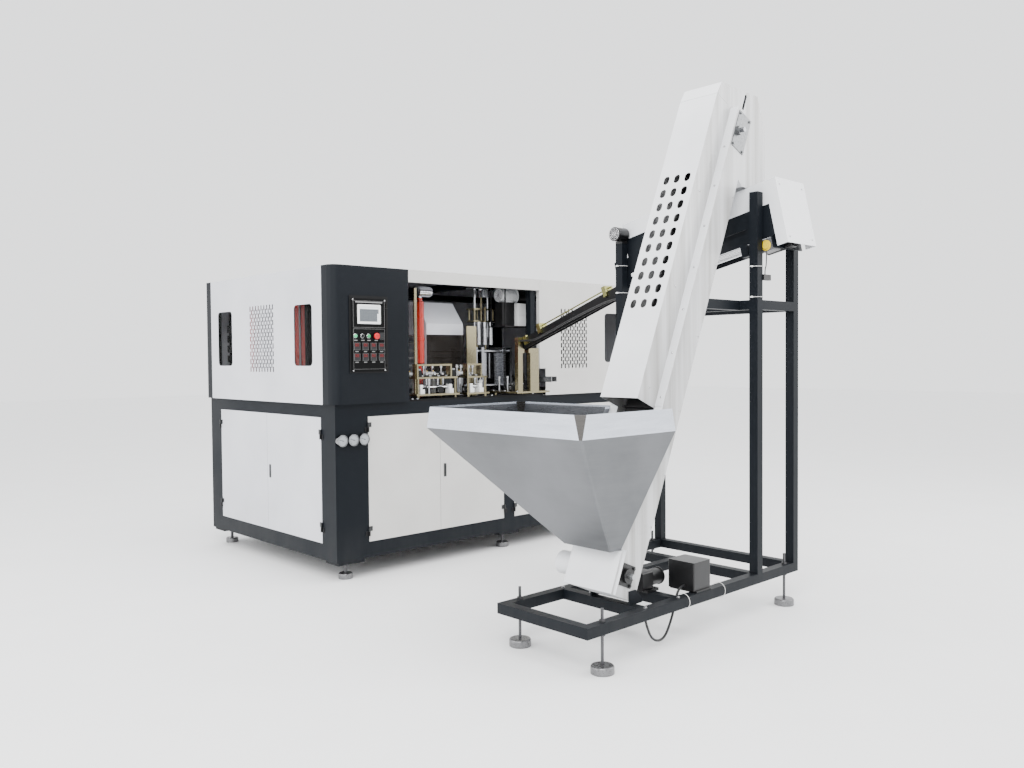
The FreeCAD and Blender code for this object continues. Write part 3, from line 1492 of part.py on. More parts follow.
sorter_x = (post_left + tube + sorter_side, post_left + tube + sorter_side + sorter_width)
roller_x = [chute_x + side * (roller_radius + roller_gap / 2) for side in (-1, 1)]


def on_sorter(shape):
    """From the sorter's own frame (Y along the rollers from the near end) to its place."""
    return placed(shape, (0, sorter_near, sorter_axis), (1, 0, 0), -sorter_tilt)


def sorter_level(y):
    return sorter_axis - (y - sorter_near) * math.tan(math.radians(sorter_tilt))


def sorter_frame():
    """Side plates with end plates that hold the rollers, a motor plate, and pads on the four posts."""
    x0, x1 = sorter_x
    wall = sorter_plate
    end = sorter_length
    ends = [block(x0, x1, 0, 2 * wall, sorter_low, roller_radius + 12),
            block(x0, x1, end - 2 * wall, end, sorter_low, roller_radius + 12)]
    sides = [block(x, x + wall, 0, end, sorter_low, sorter_high) for x in (x0, x1 - wall)]
    sides += [block(x, x + wall, far_cover[0], far_cover[1], sorter_high - 1, far_side_top)
              for x in (x0, x1 - wall)]
    motor_plate = block(x0, x1, motor_plate_at, motor_plate_at + 2 * wall, motor_plate_low, sorter_low + 8)
    hanger = block(x0, x0 + 40, 205, 245, motor_plate_low, sorter_low + 1)
    cutters = [rod(roller_journal + pin_play, (x, -1, 0), (x, end + 1, 0)) for x in roller_x]
    cutters.append(block(chute_x - chute_gap / 2, chute_x + chute_gap / 2, end - 2 * wall - 1, end + 1,
                         sorter_low - 1, roller_radius + 13))
    start, stop, low, high = side_slot
    cutters += [block(x - 1, x + wall + 1, start, stop, low, high) for x in (x0, x1 - wall)]
    frame = on_sorter(without(joined(ends + sides + [motor_plate, hanger]), cutters))
    pads = []
    for y in (feeder_near + tube / 2, feeder_far - tube / 2):
        level = sorter_level(y)
        pads.append(block(post_left + tube, x0, y - 20, y + 20, level - 20, level + 40))
        pads.append(block(x1, feeder_right - tube, y - 20, y + 20, level - 20, level + 40))
    return joined([frame] + pads)


def sorter_covers():
    """A white cover over each end of the sorter, and the white guards between them."""
    x0, x1 = sorter_x
    wall = sheet
    front = sorter_low + 20 - wall
    near = prism([(x0 - wall, y, z) for y, z in
                  ((front, skirt_low), (skirt_return, skirt_low), (skirt_return, cover_low),
                   (near_cover_depth, cover_low), (near_cover_depth, cover_top), (front, cover_top))],
                 (x1 - x0 + 2 * wall, 0, 0))
    near = near.cut(block(x0, x1, front + wall, near_cover_depth + 1, skirt_low - 1, cover_top - wall))
    start, stop, low, high = far_cover
    far = tray(x0 - wall, x1 + wall, start, stop, low, high, "-z", wall)
    far = far.cut(block(x0, x1, start - 1, stop + 1, low - 1, far_side_top))
    guards = [block(x, x + wall, near_cover_depth, start, cover_low, cover_top - touch)
              for x in (x0 - wall, x1)]
    return on_sorter(group([near, far] + guards))


def roller(x):
    """A polished roller with a journal at each end."""
    end = sorter_length
    inner = 2 * sorter_plate + touch
    barrel = rod(roller_radius, (x, inner, 0), (x, end - inner, 0))
    journal = rod(roller_journal, (x, -8, 0), (x, end + 8, 0))
    return on_sorter(joined([barrel, journal]))


# ------------------------------------------------------------------ chute

slope = math.radians(chute_slope)
chute_high_z = chute_low_z + (chute_low_y - chute_high_y) * math.tan(slope)
chute_length = (chute_low_y - chute_high_y) / math.cos(slope)


def on_chute(shape):
    """From the chute's own frame (Y downhill, Z square to the rails) to its place."""
    return placed(shape, (0, chute_high_y, chute_high_z), (1, 0, 0), -chute_slope)


def rail_bottom_at(y):
    return chute_low_z + (chute_low_y - y) * math.tan(slope)


def chute_rails():
    """Two dark rails, and the bracket that carries them on the far middle rail."""
    inner, outer = chute_gap / 2, chute_gap / 2 + chute_rail_thickness
    rails = [on_chute(block(min(x), max(x), 0, chute_length, 0, chute_rail_height))
             for x in ((chute_x - outer, chute_x - inner), (chute_x + inner, chute_x + outer))]
    low = mid_rail + 15
    start, end = feeder_far, feeder_far + bracket_run
    turn = end - 10
    outline = [(start, low), (end, low), (end, rail_bottom_at(end)), (turn, rail_bottom_at(turn)),
               (turn, low + 10), (start, low + 10)]
    bracket = prism([(chute_x - 30, y, z) for y, z in outline], (60, 0, 0))
    return group(rails + [bracket])


def chute_clamps():
    """Clamps across the rails with the thin rod above them, and two plain side clamps lower down."""
    outer = chute_gap / 2 + chute_rail_thickness
    reach = outer + clamp_cheek
    level = chute_rail_height + 24
    bar = rod(clamp_rod_radius, (chute_x, clamp_starts[0] - 25, level),
              (chute_x, clamp_starts[1] + 55, level))
    cheeks = ((-reach, -outer), (outer, reach))
    shapes = [bar]
    for start in clamp_starts:
        end = start + clamp_length
        shapes += [block(chute_x + a, chute_x + b, start, end, 44, level + 14) for a, b in cheeks]
        bridge = block(chute_x - outer, chute_x + outer, start, end, chute_rail_height + 8, level + 14)
        shapes.append(bridge.cut(bar))
    shapes += [block(chute_x + a, chute_x + b, *side_clamp, 20, chute_rail_height + 6) for a, b in cheeks]
    return group([on_chute(shape) for shape in shapes])


# ------------------------------------------------------------------ cords

def cord(route, radius):
    """A round cord along a smooth curve through a chain of control points."""
    poles = [V(*point) for point in route]
    spans = len(poles) - 2
    curve = Part.BSplineCurve()
    curve.buildFromPolesMultsKnots(poles, [3] + [1] * (spans - 1) + [3], list(range(spans + 1)), False, 2)
    section = Part.Wire([Part.Circle(poles[0], poles[1] - poles[0], radius).toShape()])
    return Part.Wire([curve.toShape()]).makePipeShell([section], True, True)


def drive_cable():
    """From the drive box down in a loop under the frame, and up into the near floor rail."""
    y = feeder_near + tube + 20
    x, z = drive_box_x[0], feeder_rail_top + 30
    end_x, end_z = cross_rails[0] + 72, rail_bottom + 15
    return cord([(x - touch, y, z), (x - 40, y, z), (x - 68, y, z - 40), (x - 105, y, z - 145),
                 (x - 170, y, z - 235), (end_x + 58, y, z - 215), (end_x + 13, y, end_z - 60),
                 (end_x, y, end_z), (end_x, feeder_near + tube + touch, end_z)], drive_cable_radius)


def chute_hose():
    """From the far middle rail along the left of the chute to the taller infeed post."""
    x = chute_x - 46
    end_x, end_z = post_places[0] + 22, 1500
    end_y = infeed_plate[2] + 6
    along = [(x, y, rail_bottom_at(y) + rise) for y, rise in ((-1080, 0), (-700, 18), (-420, 15))]
    return cord([(end_x, feeder_far + touch, mid_rail + 25), (end_x, feeder_far + 50, mid_rail + 25)] + along
                + [(end_x, -300, end_z), (end_x, end_y - 36, end_z), (end_x, end_y - touch, end_z)],
                chute_hose_radius)


def sensor_cable():
    """From the sensor's top up into the underside of the sorter's speed changer."""
    x, top = post_left + tube + 23, sensor_level + sensor_size[2]
    end_x = sorter_x[0] + 28
    underside = (sorter_low - sorter_gear_low) / math.cos(math.radians(sorter_tilt))
    end_z = sorter_level(feeder_near) + underside - touch
    return cord([(x, feeder_near, top + touch), (x, feeder_near, top + 30), (end_x, feeder_near, top + 50),
                 (end_x, feeder_near, end_z)], sensor_cable_radius)


# ------------------------------------------------------------------ nodes

nodes = {
    "base_frame": base_frame(),
    "deck_plate": block(*base_x, *base_y, belt_line, deck_top),
    "levelling_studs": studs(),
    "foot_pads": pads(),
    "door_hinges": hinge_frame_halves(),
    "cabinet_frame": cabinet_frame(),
    "corner_panels": corner_panels(),
    "left_panel": left_panel(),
    "front_panels": front_panels(),
    "plain_panels": plain_panels(),
    "window_panes": window_panes(),
    "control_frame": control_frame(),
    "control_door": control_door(),
    "screen_bezel": screen_bezel(),
    "screen_glass": screen_glass(),
    "panel_meters": panel_meters(),
    "button_bezels": button_bezels(),
    "start_button": start_button(),
    "stop_button": stop_button(),
    "selector_knob": selector_knob(),
    "pressure_gauges": pressure_gauges(),
    "clamp_bed": clamp_bed(),
    "left_platen": platen(-1),
    "right_platen": platen(1),
    "stretch_gantry": stretch_gantry(),
    "stretch_carriage": stretch_carriage(),
    "heater_hood": heater_hood(),
    "heater_shield": heater_shield(),
    "red_uprights": red_uprights(),
    "chrome_shafts": chrome_shafts(),
    "blower_shelf": blower_shelf(),
    "fan_motors": fan_motors(),
    "transfer_tables": transfer_tables(),
    "bearing_blocks": bearing_blocks(),
    "outlet_channel": outlet_channel(),
    "feeder_frame": feeder_frame(),
    "hopper": hopper(),
    "elevator_trough": elevator_trough(),
    "elevator_cover": elevator_cover(),
    "elevator_belt": elevator_belt(),
    "head_drum": drum(head_shaft, (45, 45)),
    "tail_drum": drum(tail_shaft, (50, 170)),
    "head_hood": head_hood(),
    "bearing_plates": bearing_plates(),
    "drive_motors": drive_motors(),
    "sorter_frame": sorter_frame(),
    "sorter_covers": sorter_covers(),
    "sorter_roller_1": roller(roller_x[0]),
    "sorter_roller_2": roller(roller_x[1]),
    "chute_rails": chute_rails(),
    "chute_clamps": chute_clamps(),
    "drive_cable": drive_cable(),
    "chute_hose": chute_hose(),
    "sensor_cable": sensor_cable(),
}
for number, (low, high, side, latched) in enumerate(front_doors):
    nodes["front_door_%d" % (number + 1)] = front_door(low, high, side, latched)
for number, (low, high, side, latched) in enumerate(end_doors):
    nodes["end_door_%d" % (number + 1)] = end_door(low, high, side, latched)

box = Part.Compound(list(nodes.values())).BoundBox
shift = V(-(box.XMin + box.XMax) / 2, -(box.YMin + box.YMax) / 2, -box.ZMin)
os.makedirs("parts", exist_ok=True)
for name, shape in nodes.items():
    moved = shape.copy()
    moved.translate(shift)
    moved.exportStep("parts/" + name + ".step")
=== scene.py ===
"""Looks of the blow moulding machine and the feeder that stands in front of it."""
import json
import math

import bpy
from mathutils import Matrix, Vector


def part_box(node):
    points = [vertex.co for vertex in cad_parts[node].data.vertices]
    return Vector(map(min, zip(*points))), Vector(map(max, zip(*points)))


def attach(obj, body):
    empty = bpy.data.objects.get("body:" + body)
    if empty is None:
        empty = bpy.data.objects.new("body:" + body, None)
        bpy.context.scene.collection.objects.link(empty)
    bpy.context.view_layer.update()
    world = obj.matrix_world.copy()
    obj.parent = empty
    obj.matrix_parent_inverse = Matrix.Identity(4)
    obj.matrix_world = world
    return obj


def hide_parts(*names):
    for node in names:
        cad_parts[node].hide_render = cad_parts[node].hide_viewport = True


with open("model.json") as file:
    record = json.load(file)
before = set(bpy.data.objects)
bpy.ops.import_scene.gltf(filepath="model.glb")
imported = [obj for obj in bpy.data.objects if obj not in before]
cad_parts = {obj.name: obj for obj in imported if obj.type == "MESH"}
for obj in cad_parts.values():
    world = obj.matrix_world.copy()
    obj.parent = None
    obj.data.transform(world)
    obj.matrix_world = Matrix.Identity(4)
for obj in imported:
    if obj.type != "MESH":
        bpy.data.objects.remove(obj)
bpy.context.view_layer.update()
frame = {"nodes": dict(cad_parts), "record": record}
nodes = frame["nodes"]

# The machine's front left corner on the floor: every place below is measured from it, in metres.
corner = Vector((*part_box("corner_panels")[0][:2], 0.0))


def at(x, y, z):
    return corner + Vector((x, y, z))


def added(name, data):
    piece = bpy.data.objects.new(name, data)
    bpy.context.scene.collection.objects.link(piece)
    return piece


# -------- shader groups

class Maker:
    """Adds and wires nodes in one node tree."""

    def __init__(self, tree):
        self.tree = tree

    def put(self, kind, settings=None, **sockets):
        node = self.tree.nodes.new(kind)
        for key, value in (settings or {}).items():
            setattr(node, key, value)
        for key, value in sockets.items():
            self.feed(node.inputs[key.replace("_", " ")], value)
        return node

    def feed(self, socket, value):
        if isinstance(value, bpy.types.NodeSocket):
            self.tree.links.new(value, socket)
        else:
            socket.default_value = value

    def sum(self, operation, first, second=0.0, clamp=False):
        node = self.put("ShaderNodeMath", {"operation": operation, "use_clamp": clamp})
        self.feed(node.inputs[0], first)
        self.feed(node.inputs[1], second)
        return node.outputs[0]

    def vector(self, operation, first, second=(0, 0, 0)):
        node = self.put("ShaderNodeVectorMath", {"operation": operation})
        self.feed(node.inputs[0], first)
        self.feed(node.inputs[1], second)
        return node.outputs

    def span(self, value, low, high, to_low=0.0, to_high=1.0):
        """Maps low..high to to_low..to_high, held at both ends."""
        node = self.put("ShaderNodeMapRange", Value=value, From_Min=low, From_Max=high,
                        To_Min=to_low, To_Max=to_high)
        return node.outputs["Result"]

    def blend(self, mask, first, second):
        node = self.put("ShaderNodeMix", {"data_type": "RGBA"})
        self.feed(node.inputs[0], mask)
        self.feed(node.inputs[6], first)
        self.feed(node.inputs[7], second)
        return node.outputs[2]

    def noise(self, place, scale, detail=2.0, rough=0.5):
        node = self.put("ShaderNodeTexNoise", Vector=place, Scale=scale, Detail=detail, Roughness=rough)
        return node.outputs["Fac"]

    def stretched(self, place, scale):
        return self.put("ShaderNodeMapping", Vector=place, Scale=scale).outputs[0]

    def bump(self, height, strength, distance):
        return self.put("ShaderNodeBump", Height=height, Strength=strength, Distance=distance).outputs[0]


KINDS = {"value": "NodeSocketFloat", "vector": "NodeSocketVector", "colour": "NodeSocketColor"}


def shader_group(name, inputs, outputs):
    """A new group with named inputs (name: (kind, default)) and outputs (name: kind)."""
    tree = bpy.data.node_groups.new(name, "ShaderNodeTree")
    for key, (kind, default) in inputs.items():
        tree.interface.new_socket(key, in_out="INPUT", socket_type=KINDS[kind]).default_value = default
    for key, kind in outputs.items():
        tree.interface.new_socket(key, in_out="OUTPUT", socket_type=KINDS[kind])
    maker = Maker(tree)
    return maker, maker.put("NodeGroupInput").outputs, maker.put("NodeGroupOutput").inputs


def object_place(maker):
    return maker.put("ShaderNodeTexCoord").outputs["Object"]


def facing_parts(maker):
    """How far the surface faces along X, Y and Z."""
    normal = maker.put("ShaderNodeNewGeometry").outputs["Normal"]
    return maker.put("ShaderNodeSeparateXYZ", Vector=normal).outputs


def build_paint_skin():
    """The fine orange peel of baked paint, with soft patches where it has been wiped."""
    maker, given, result = shader_group(
        "paint skin", {"Scale": ("value", 400.0), "Depth": ("value", 0.2)},
        {"Normal": "vector", "Patches": "value", "Specks": "value"})
    place = object_place(maker)
    peel = maker.noise(place, given["Scale"], 3.0)
    maker.feed(result["Normal"], maker.bump(peel, given["Depth"], 0.0006))
    maker.feed(result["Patches"], maker.span(maker.noise(place, 2.3, 4.0), 0.35, 0.68))
    maker.feed(result["Specks"], maker.span(maker.noise(place, 150.0, 2.0), 0.70, 0.76))


def build_settled_dust():
    """Dust near the floor, in runs down upright faces and on surfaces that face up."""
    maker, given, result = shader_group(
        "settled dust", {"Height": ("value", 0.5), "Amount": ("value", 0.5)}, {"Dust": "value"})
    place = object_place(maker)
    high = maker.put("ShaderNodeSeparateXYZ", Vector=place).outputs["Z"]
    low_band = maker.sum("SUBTRACT", 1.0, maker.sum("DIVIDE", high, given["Height"], clamp=True), clamp=True)
    runs = maker.noise(maker.stretched(place, (9.0, 9.0, 1.2)), 2.0, 5.0, 0.6)
    facing = facing_parts(maker)["Z"]
    on_top = maker.span(facing, 0.6, 0.95, 0.0, 0.55)
    both = maker.sum("ADD", low_band, on_top, clamp=True)
    cloud = maker.span(runs, 0.3, 0.75)
    maker.feed(result["Dust"], maker.sum("MULTIPLY", maker.sum("MULTIPLY", both, cloud), given["Amount"]))


def build_metal_grain():
    """Brushing marks drawn out along one direction, with a few deeper scratches."""
    maker, given, result = shader_group(
        "metal grain", {"Stretch": ("vector", (4.0, 250.0, 250.0)), "Depth": ("value", 0.1)},
        {"Grain": "value", "Scratches": "value", "Normal": "vector"})
    place = object_place(maker)
    grain = maker.noise(maker.stretched(place, given["Stretch"]), 1.6, 4.0, 0.65)
    fine = maker.noise(maker.stretched(place, given["Stretch"]), 5.0, 2.0)
    both = maker.sum("ADD", maker.sum("MULTIPLY", grain, 0.6), maker.sum("MULTIPLY", fine, 0.4))
    maker.feed(result["Grain"], maker.span(both, 0.3, 0.7))
    marks = maker.put("ShaderNodeTexVoronoi", {"feature": "DISTANCE_TO_EDGE"}, Vector=place, Scale=9.0)
    maker.feed(result["Scratches"], maker.span(marks.outputs["Distance"], 0.0, 0.008, 1.0, 0.0))
    maker.feed(result["Normal"], maker.bump(both, given["Depth"], 0.0006))


def build_zinc_spangle():
    """The flat crystals of a hot dipped zinc coat."""
    maker, given, result = shader_group(
        "zinc spangle", {"Scale": ("value", 90.0)}, {"Crystal": "value", "Normal": "vector"})
    place = object_place(maker)
    cells = maker.put("ShaderNodeTexVoronoi", Vector=place, Scale=given["Scale"])
    tone = maker.put("ShaderNodeSeparateColor", Color=cells.outputs["Color"]).outputs[0]
    maker.feed(result["Crystal"], tone)
    maker.feed(result["Normal"], maker.bump(tone, 0.12, 0.0004))


def build_past_plane():
    """1 where the surface lies past a plane, 0 before it: Facing is the way, Reach how far."""
    maker, given, result = shader_group(
        "past plane", {"Facing": ("vector", (0.0, 0.0, 1.0)), "Reach": ("value", 0.0)}, {"Past": "value"})
    along = maker.vector("DOT_PRODUCT", object_place(maker), given["Facing"])["Value"]
    maker.feed(result["Past"], maker.sum("GREATER_THAN", along, given["Reach"]))


def build_near_line():
    """1 within Radius of a line through Point along Way, 0 further off."""
    maker, given, result = shader_group(
        "near line", {"Point": ("vector", (0, 0, 0)), "Way": ("vector", (0, 1, 0)),
                      "Radius": ("value", 0.01)}, {"Near": "value"})
    apart = maker.vector("SUBTRACT", object_place(maker), given["Point"])[0]
    across = maker.vector("CROSS_PRODUCT", apart, given["Way"])[0]
    length = maker.vector("LENGTH", across)["Value"]
    maker.feed(result["Near"], maker.sum("LESS_THAN", length, given["Radius"]))


def build_inside_box():
    """1 where the surface lies inside the box from Low to High."""
    maker, given, result = shader_group(
        "inside box", {"Low": ("vector", (0, 0, 0)), "High": ("vector", (1, 1, 1))}, {"Inside": "value"})
    place = object_place(maker)
    depths = []
    for first, second in ((place, given["Low"]), (given["High"], place)):
        apart = maker.vector("SUBTRACT", first, second)[0]
        sides = maker.put("ShaderNodeSeparateXYZ", Vector=apart).outputs
        depths.append(maker.sum("MINIMUM", maker.sum("MINIMUM", sides[0], sides[1]), sides[2]))
    least = maker.sum("MINIMUM", depths[0], depths[1])
    maker.feed(result["Inside"], maker.sum("GREATER_THAN", least, 0.0))


def build_painted_side_shade():
    """Painted shade on the faces that look towards -Y, laid in soft slanting runs with a fainter shade
    between them.
    """
    maker, given, result = shader_group("painted side shade", {"Scale": ("value", 1.0)}, {"Shade": "value"})
    near_side = maker.span(facing_parts(maker)["Y"], -0.5, -0.9)
    slanting = maker.put("ShaderNodeMapping", Vector=object_place(maker), Rotation=(0, math.radians(23), 0),
                         Scale=(16.0, 1.0, 0.5)).outputs[0]
    band = maker.noise(slanting, given["Scale"], 3.0, 0.55)
    level = maker.span(band, 0.36, 0.66, 0.42, 1.0)
    maker.feed(result["Shade"], maker.sum("MULTIPLY", level, near_side))


for build in (build_paint_skin, build_settled_dust, build_metal_grain, build_zinc_spangle, build_past_plane,
              build_near_line, build_inside_box, build_painted_side_shade):
    build()


# -------- materials

class Finish(Maker):
    """A material with one Principled shader that the other nodes feed."""

    def __init__(self, name, **sockets):
        self.material = bpy.data.materials.new(name)
        self.material.use_nodes = True
        super().__init__(self.material.node_tree)
        self.tree.nodes.clear()
        self.shader = self.put("ShaderNodeBsdfPrincipled", **sockets)
        self.put("ShaderNodeOutputMaterial", Surface=self.shader.outputs[0])

    def effect(self, name, **inputs):
        node = self.tree.nodes.new("ShaderNodeGroup")
        node.node_tree = bpy.data.node_groups[name]
        for key, value in inputs.items():
            self.feed(node.inputs[key], value)
        return node.outputs

    def set(self, socket, value):
        self.feed(self.shader.inputs[socket], value)

    def tones(self, mask, colour, low, high):
        """The colour, darker where the mask is 0 and lighter where it is 1."""
        return self.blend(mask, shade(colour, low), shade(colour, high))


def shade(colour, factor):
    return (*[min(1.0, part * factor) for part in colour[:3]], 1.0)


DUST = (0.30, 0.28, 0.25, 1.0)
BLACK = (0.012, 0.013, 0.014, 1.0)
# Warm grey of the painted shade on faces that look towards -Y.
SIDE_SHADE_GREY = (0.20, 0.188, 0.168, 1.0)


def paint(name, colour, rough, peel=420.0, depth=0.2, dust=0.35, dust_height=0.3, fittings=None, coat=0.0,
          gloss=0.5, patches=(), side_shade=0.0):
    """Baked paint. What lies past the plane fittings (facing, reach) is black.

    patches are (low, high, colour) boxes in which the piece has another colour; the last argument is how
    strong the painted shade, laid in warm grey runs, is on faces that look towards -Y."""
    finish = Finish(name, Coat_Weight=coat, Coat_Roughness=0.12, Specular_IOR_Level=gloss)
    skin = finish.effect("paint skin", Scale=peel, Depth=depth)
    dirt = finish.effect("settled dust", Height=dust_height, Amount=dust)["Dust"]
    tone = finish.tones(skin["Patches"], colour, 0.93, 1.06)
    tone = finish.blend(dirt, tone, DUST)
    level = finish.span(skin["Patches"], 0.0, 1.0, rough - 0.05, rough + 0.07)
    # Painted shade: warm grey runs darken the faces that look towards -Y.
    if side_shade:
        runs = finish.effect("painted side shade", Scale=1.1)["Shade"]
        tone = finish.blend(finish.sum("MULTIPLY", runs, side_shade), tone, SIDE_SHADE_GREY)
    if fittings:
        past = finish.effect("past plane", Facing=fittings[0], Reach=fittings[1])["Past"]
        tone = finish.blend(past, tone, BLACK)
    for low, high, other in patches:
        inside = finish.effect("inside box", Low=tuple(at(*low)), High=tuple(at(*high)))["Inside"]
        colour_there = finish.tones(skin["Patches"], other, 0.9, 1.08)
        tone = finish.blend(inside, tone, colour_there)
    finish.set("Base Color", tone)
    finish.set("Roughness", finish.sum("ADD", level, finish.sum("MULTIPLY", dirt, 0.3)))
    finish.set("Normal", skin["Normal"])
    return finish.material


def brushed(name, colour, rough, stretch, depth=0.1, dust=0.15, scratches=0.25):
    """Bare metal with its grain along one direction."""
    finish = Finish(name, Metallic=1.0)
    grain = finish.effect("metal grain", Stretch=stretch, Depth=depth)
    dirt = finish.effect("settled dust", Height=0.6, Amount=dust)["Dust"]
    tone = finish.tones(grain["Grain"], colour, 0.82, 1.12)
    tone = finish.blend(finish.sum("MULTIPLY", grain["Scratches"], scratches), tone, shade(colour, 1.5))
    finish.set("Base Color", finish.blend(dirt, tone, DUST))
    level = finish.span(grain["Grain"], 0.0, 1.0, rough - 0.07, rough + 0.09)
    finish.set("Roughness", finish.sum("ADD", level, finish.sum("MULTIPLY", dirt, 0.35)))
    finish.set("Normal", grain["Normal"])
    return finish.material


def galvanised(name, colour, rough, scale=90.0):
    """Dipped or plated zinc."""
    finish = Finish(name, Metallic=0.9)
    zinc = finish.effect("zinc spangle", Scale=scale)
    skin = finish.effect("paint skin", Scale=60.0, Depth=0.1)
    tone = finish.tones(zinc["Crystal"], colour, 0.8, 1.15)
    finish.set("Base Color", finish.blend(skin["Patches"], tone, shade(colour, 0.9)))
    finish.set("Roughness", finish.span(zinc["Crystal"], 0.0, 1.0, rough - 0.1, rough + 0.1))
    finish.set("Normal", zinc["Normal"])
    return finish.material


def moulded(name, colour, rough, grain=900.0, depth=0.25):
    """Moulded plastic or rubber with a fine skin."""
    finish = Finish(name)
    skin = finish.effect("paint skin", Scale=grain, Depth=depth)
    finish.set("Base Color", finish.tones(skin["Patches"], colour, 0.85, 1.1))
    finish.set("Roughness", finish.span(skin["Patches"], 0.0, 1.0, rough - 0.06, rough + 0.08))
    finish.set("Normal", skin["Normal"])
    return finish.material


def pane(name, colour, rough, solid):
    """A clear or smoked sheet: solid is how much light it stops."""
    finish = Finish(name, Alpha=solid, IOR=1.49, Specular_IOR_Level=0.06)
    skin = finish.effect("paint skin", Scale=30.0, Depth=0.05)
    finish.set("Base Color", finish.tones(skin["Patches"], colour, 0.9, 1.1))
    finish.set("Roughness", finish.span(skin["Patches"], 0.0, 1.0, rough, rough + 0.06))
    return finish.material


def screen_picture():
    """A lit operating screen: a plain header bar, faint rows and a slider, with no words."""
    low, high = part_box("screen_glass")
    finish = Finish("screen picture", Roughness=0.15)
    parts = finish.put("ShaderNodeSeparateXYZ", Vector=object_place(finish)).outputs
    across = finish.span(parts["X"], low[0], high[0])
    up = finish.span(parts["Z"], low[2], high[2])
    grid = finish.put("ShaderNodeCombineXYZ", X=across, Y=up).outputs[0]
    rows = finish.put("ShaderNodeTexBrick", {"offset": 0.0}, Vector=grid, Scale=6.0, Mortar_Size=0.012,
                      Color1=(0.085, 0.095, 0.105, 1), Color2=(0.10, 0.11, 0.12, 1),
                      Mortar=(0.16, 0.17, 0.18, 1))
    header = finish.sum("GREATER_THAN", up, 0.85)
    slider = finish.sum("MULTIPLY", finish.sum("GREATER_THAN", across, 0.93),
                        finish.sum("LESS_THAN", up, 0.55))
    white = finish.sum("MAXIMUM", header, slider)
    tone = finish.blend(white, rows.outputs["Color"], (0.72, 0.75, 0.77, 1))
    finish.set("Base Color", tone)
    finish.set("Emission Color", tone)
    finish.set("Emission Strength", 0.35)
    return finish.material


charcoal = (0.0050, 0.0068, 0.0095)
panel_charcoal = (0.0048, 0.0064, 0.0090)
panel_black = (0.0022, 0.0023, 0.0025)
deck_black = (0.004, 0.004, 0.0045)
black = (0.005, 0.005, 0.0056)
panel_white = (0.60, 0.61, 0.65)
feeder_white = (0.72, 0.73, 0.75)
warm_white = (0.56, 0.55, 0.53)
duct_white = (0.78, 0.78, 0.78)
silver = (0.55, 0.56, 0.57)
changer_grey = (0.12, 0.12, 0.125)
lens_green = (0.02, 0.55, 0.2, 1)
baked = {"rough": 0.42, "peel": 700, "depth": 0.22, "dust_height": 0.5}
smooth_baked = {"rough": 0.32, "peel": 500, "depth": 0.14, "dust": 0.1, "dust_height": 0.5, "coat": 0.2}
cast = {"peel": 180, "depth": 0.4, "dust": 0.05}
fine = {"grain": 300, "depth": 0.05}
small_parts = {"stretch": (90, 90, 90), "depth": 0.05, "dust": 0.02}
changer_yellow = (0.70, 0.52, 0.02)


def bezel_finish():
    """Polished bezels, with the pilot lamp's lens in green."""
    pilot_lamp, lens_radius = at(0.158, 0.0, 1.524), 0.0112
    finish = Finish("polished bezel")
    skin = finish.effect("paint skin", Scale=200.0, Depth=0.05)
    lens = finish.effect("near line", Point=tuple(pilot_lamp), Way=(0, 1, 0), Radius=lens_radius)["Near"]
    steel = finish.blend(skin["Patches"], (0.55, 0.55, 0.56, 1), (0.7, 0.7, 0.71, 1))
    finish.set("Base Color", finish.blend(lens, steel, lens_green))
    finish.set("Metallic", finish.sum("SUBTRACT", 1.0, lens))
    finish.set("Roughness", finish.span(skin["Patches"], 0.0, 1.0, 0.14, 0.25))
    return finish.material


def hopper_finish():
    """Dull sheet below the fold, a bright rim above it, and painted shade inside the rim and on its gussets.
    """
    low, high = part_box("hopper")
    rim_height, half_wall, edge_fold, gusset_slant = 0.109, 0.0012, 0.010, 0.22
    finish = Finish("hopper sheet", Metallic=0.9)
    grain = finish.effect("metal grain", Stretch=(1.2, 1.2, 14.0), Depth=0.03)
    skin = finish.effect("paint skin", Scale=25.0, Depth=0.03)
    rim = finish.effect("past plane", Facing=(0, 0, 1), Reach=high[2] - rim_height)["Past"]
    sheet = finish.blend(skin["Patches"], (0.115, 0.12, 0.125, 1), (0.165, 0.17, 0.18, 1))
    sheet = finish.blend(finish.sum("MULTIPLY", grain["Grain"], 0.3), sheet, (0.21, 0.215, 0.225, 1))
    sheet = finish.blend(finish.sum("MULTIPLY", skin["Specks"], 0.25), sheet, (0.07, 0.07, 0.07, 1))
    bright = finish.blend(grain["Grain"], (0.62, 0.66, 0.74, 1), (0.72, 0.76, 0.84, 1))
    tone = finish.blend(rim, sheet, bright)
    # Painted shade: the inside of the rim is made dark.
    inner = finish.effect("inside box", Low=(low[0] + half_wall, low[1] + half_wall, low[2]),
                          High=(high[0] - half_wall, high[1] - half_wall, high[2] - edge_fold))["Inside"]
    inner_rim_shade = finish.sum("MULTIPLY", finish.sum("MULTIPLY", inner, rim), 0.85)
    tone = finish.blend(inner_rim_shade, tone, (0.11, 0.11, 0.115, 1))
    # Painted shade: the slanted faces of the rim, the gussets, are made dark.
    turned_to = facing_parts(finish)
    slanted = finish.sum("ABSOLUTE", finish.sum("MULTIPLY", turned_to["X"], turned_to["Y"]))
    gusset_shade = finish.sum("MULTIPLY", finish.sum("GREATER_THAN", slanted, gusset_slant), rim)
    finish.set("Base Color", finish.blend(gusset_shade, tone, (0.10, 0.095, 0.09, 1)))
    level = finish.span(grain["Grain"], 0.0, 1.0, 0.38, 0.48)
    finish.set("Roughness", finish.sum("SUBTRACT", level, finish.sum("MULTIPLY", rim, 0.16)))
    finish.set("Normal", grain["Normal"])
    return finish.material


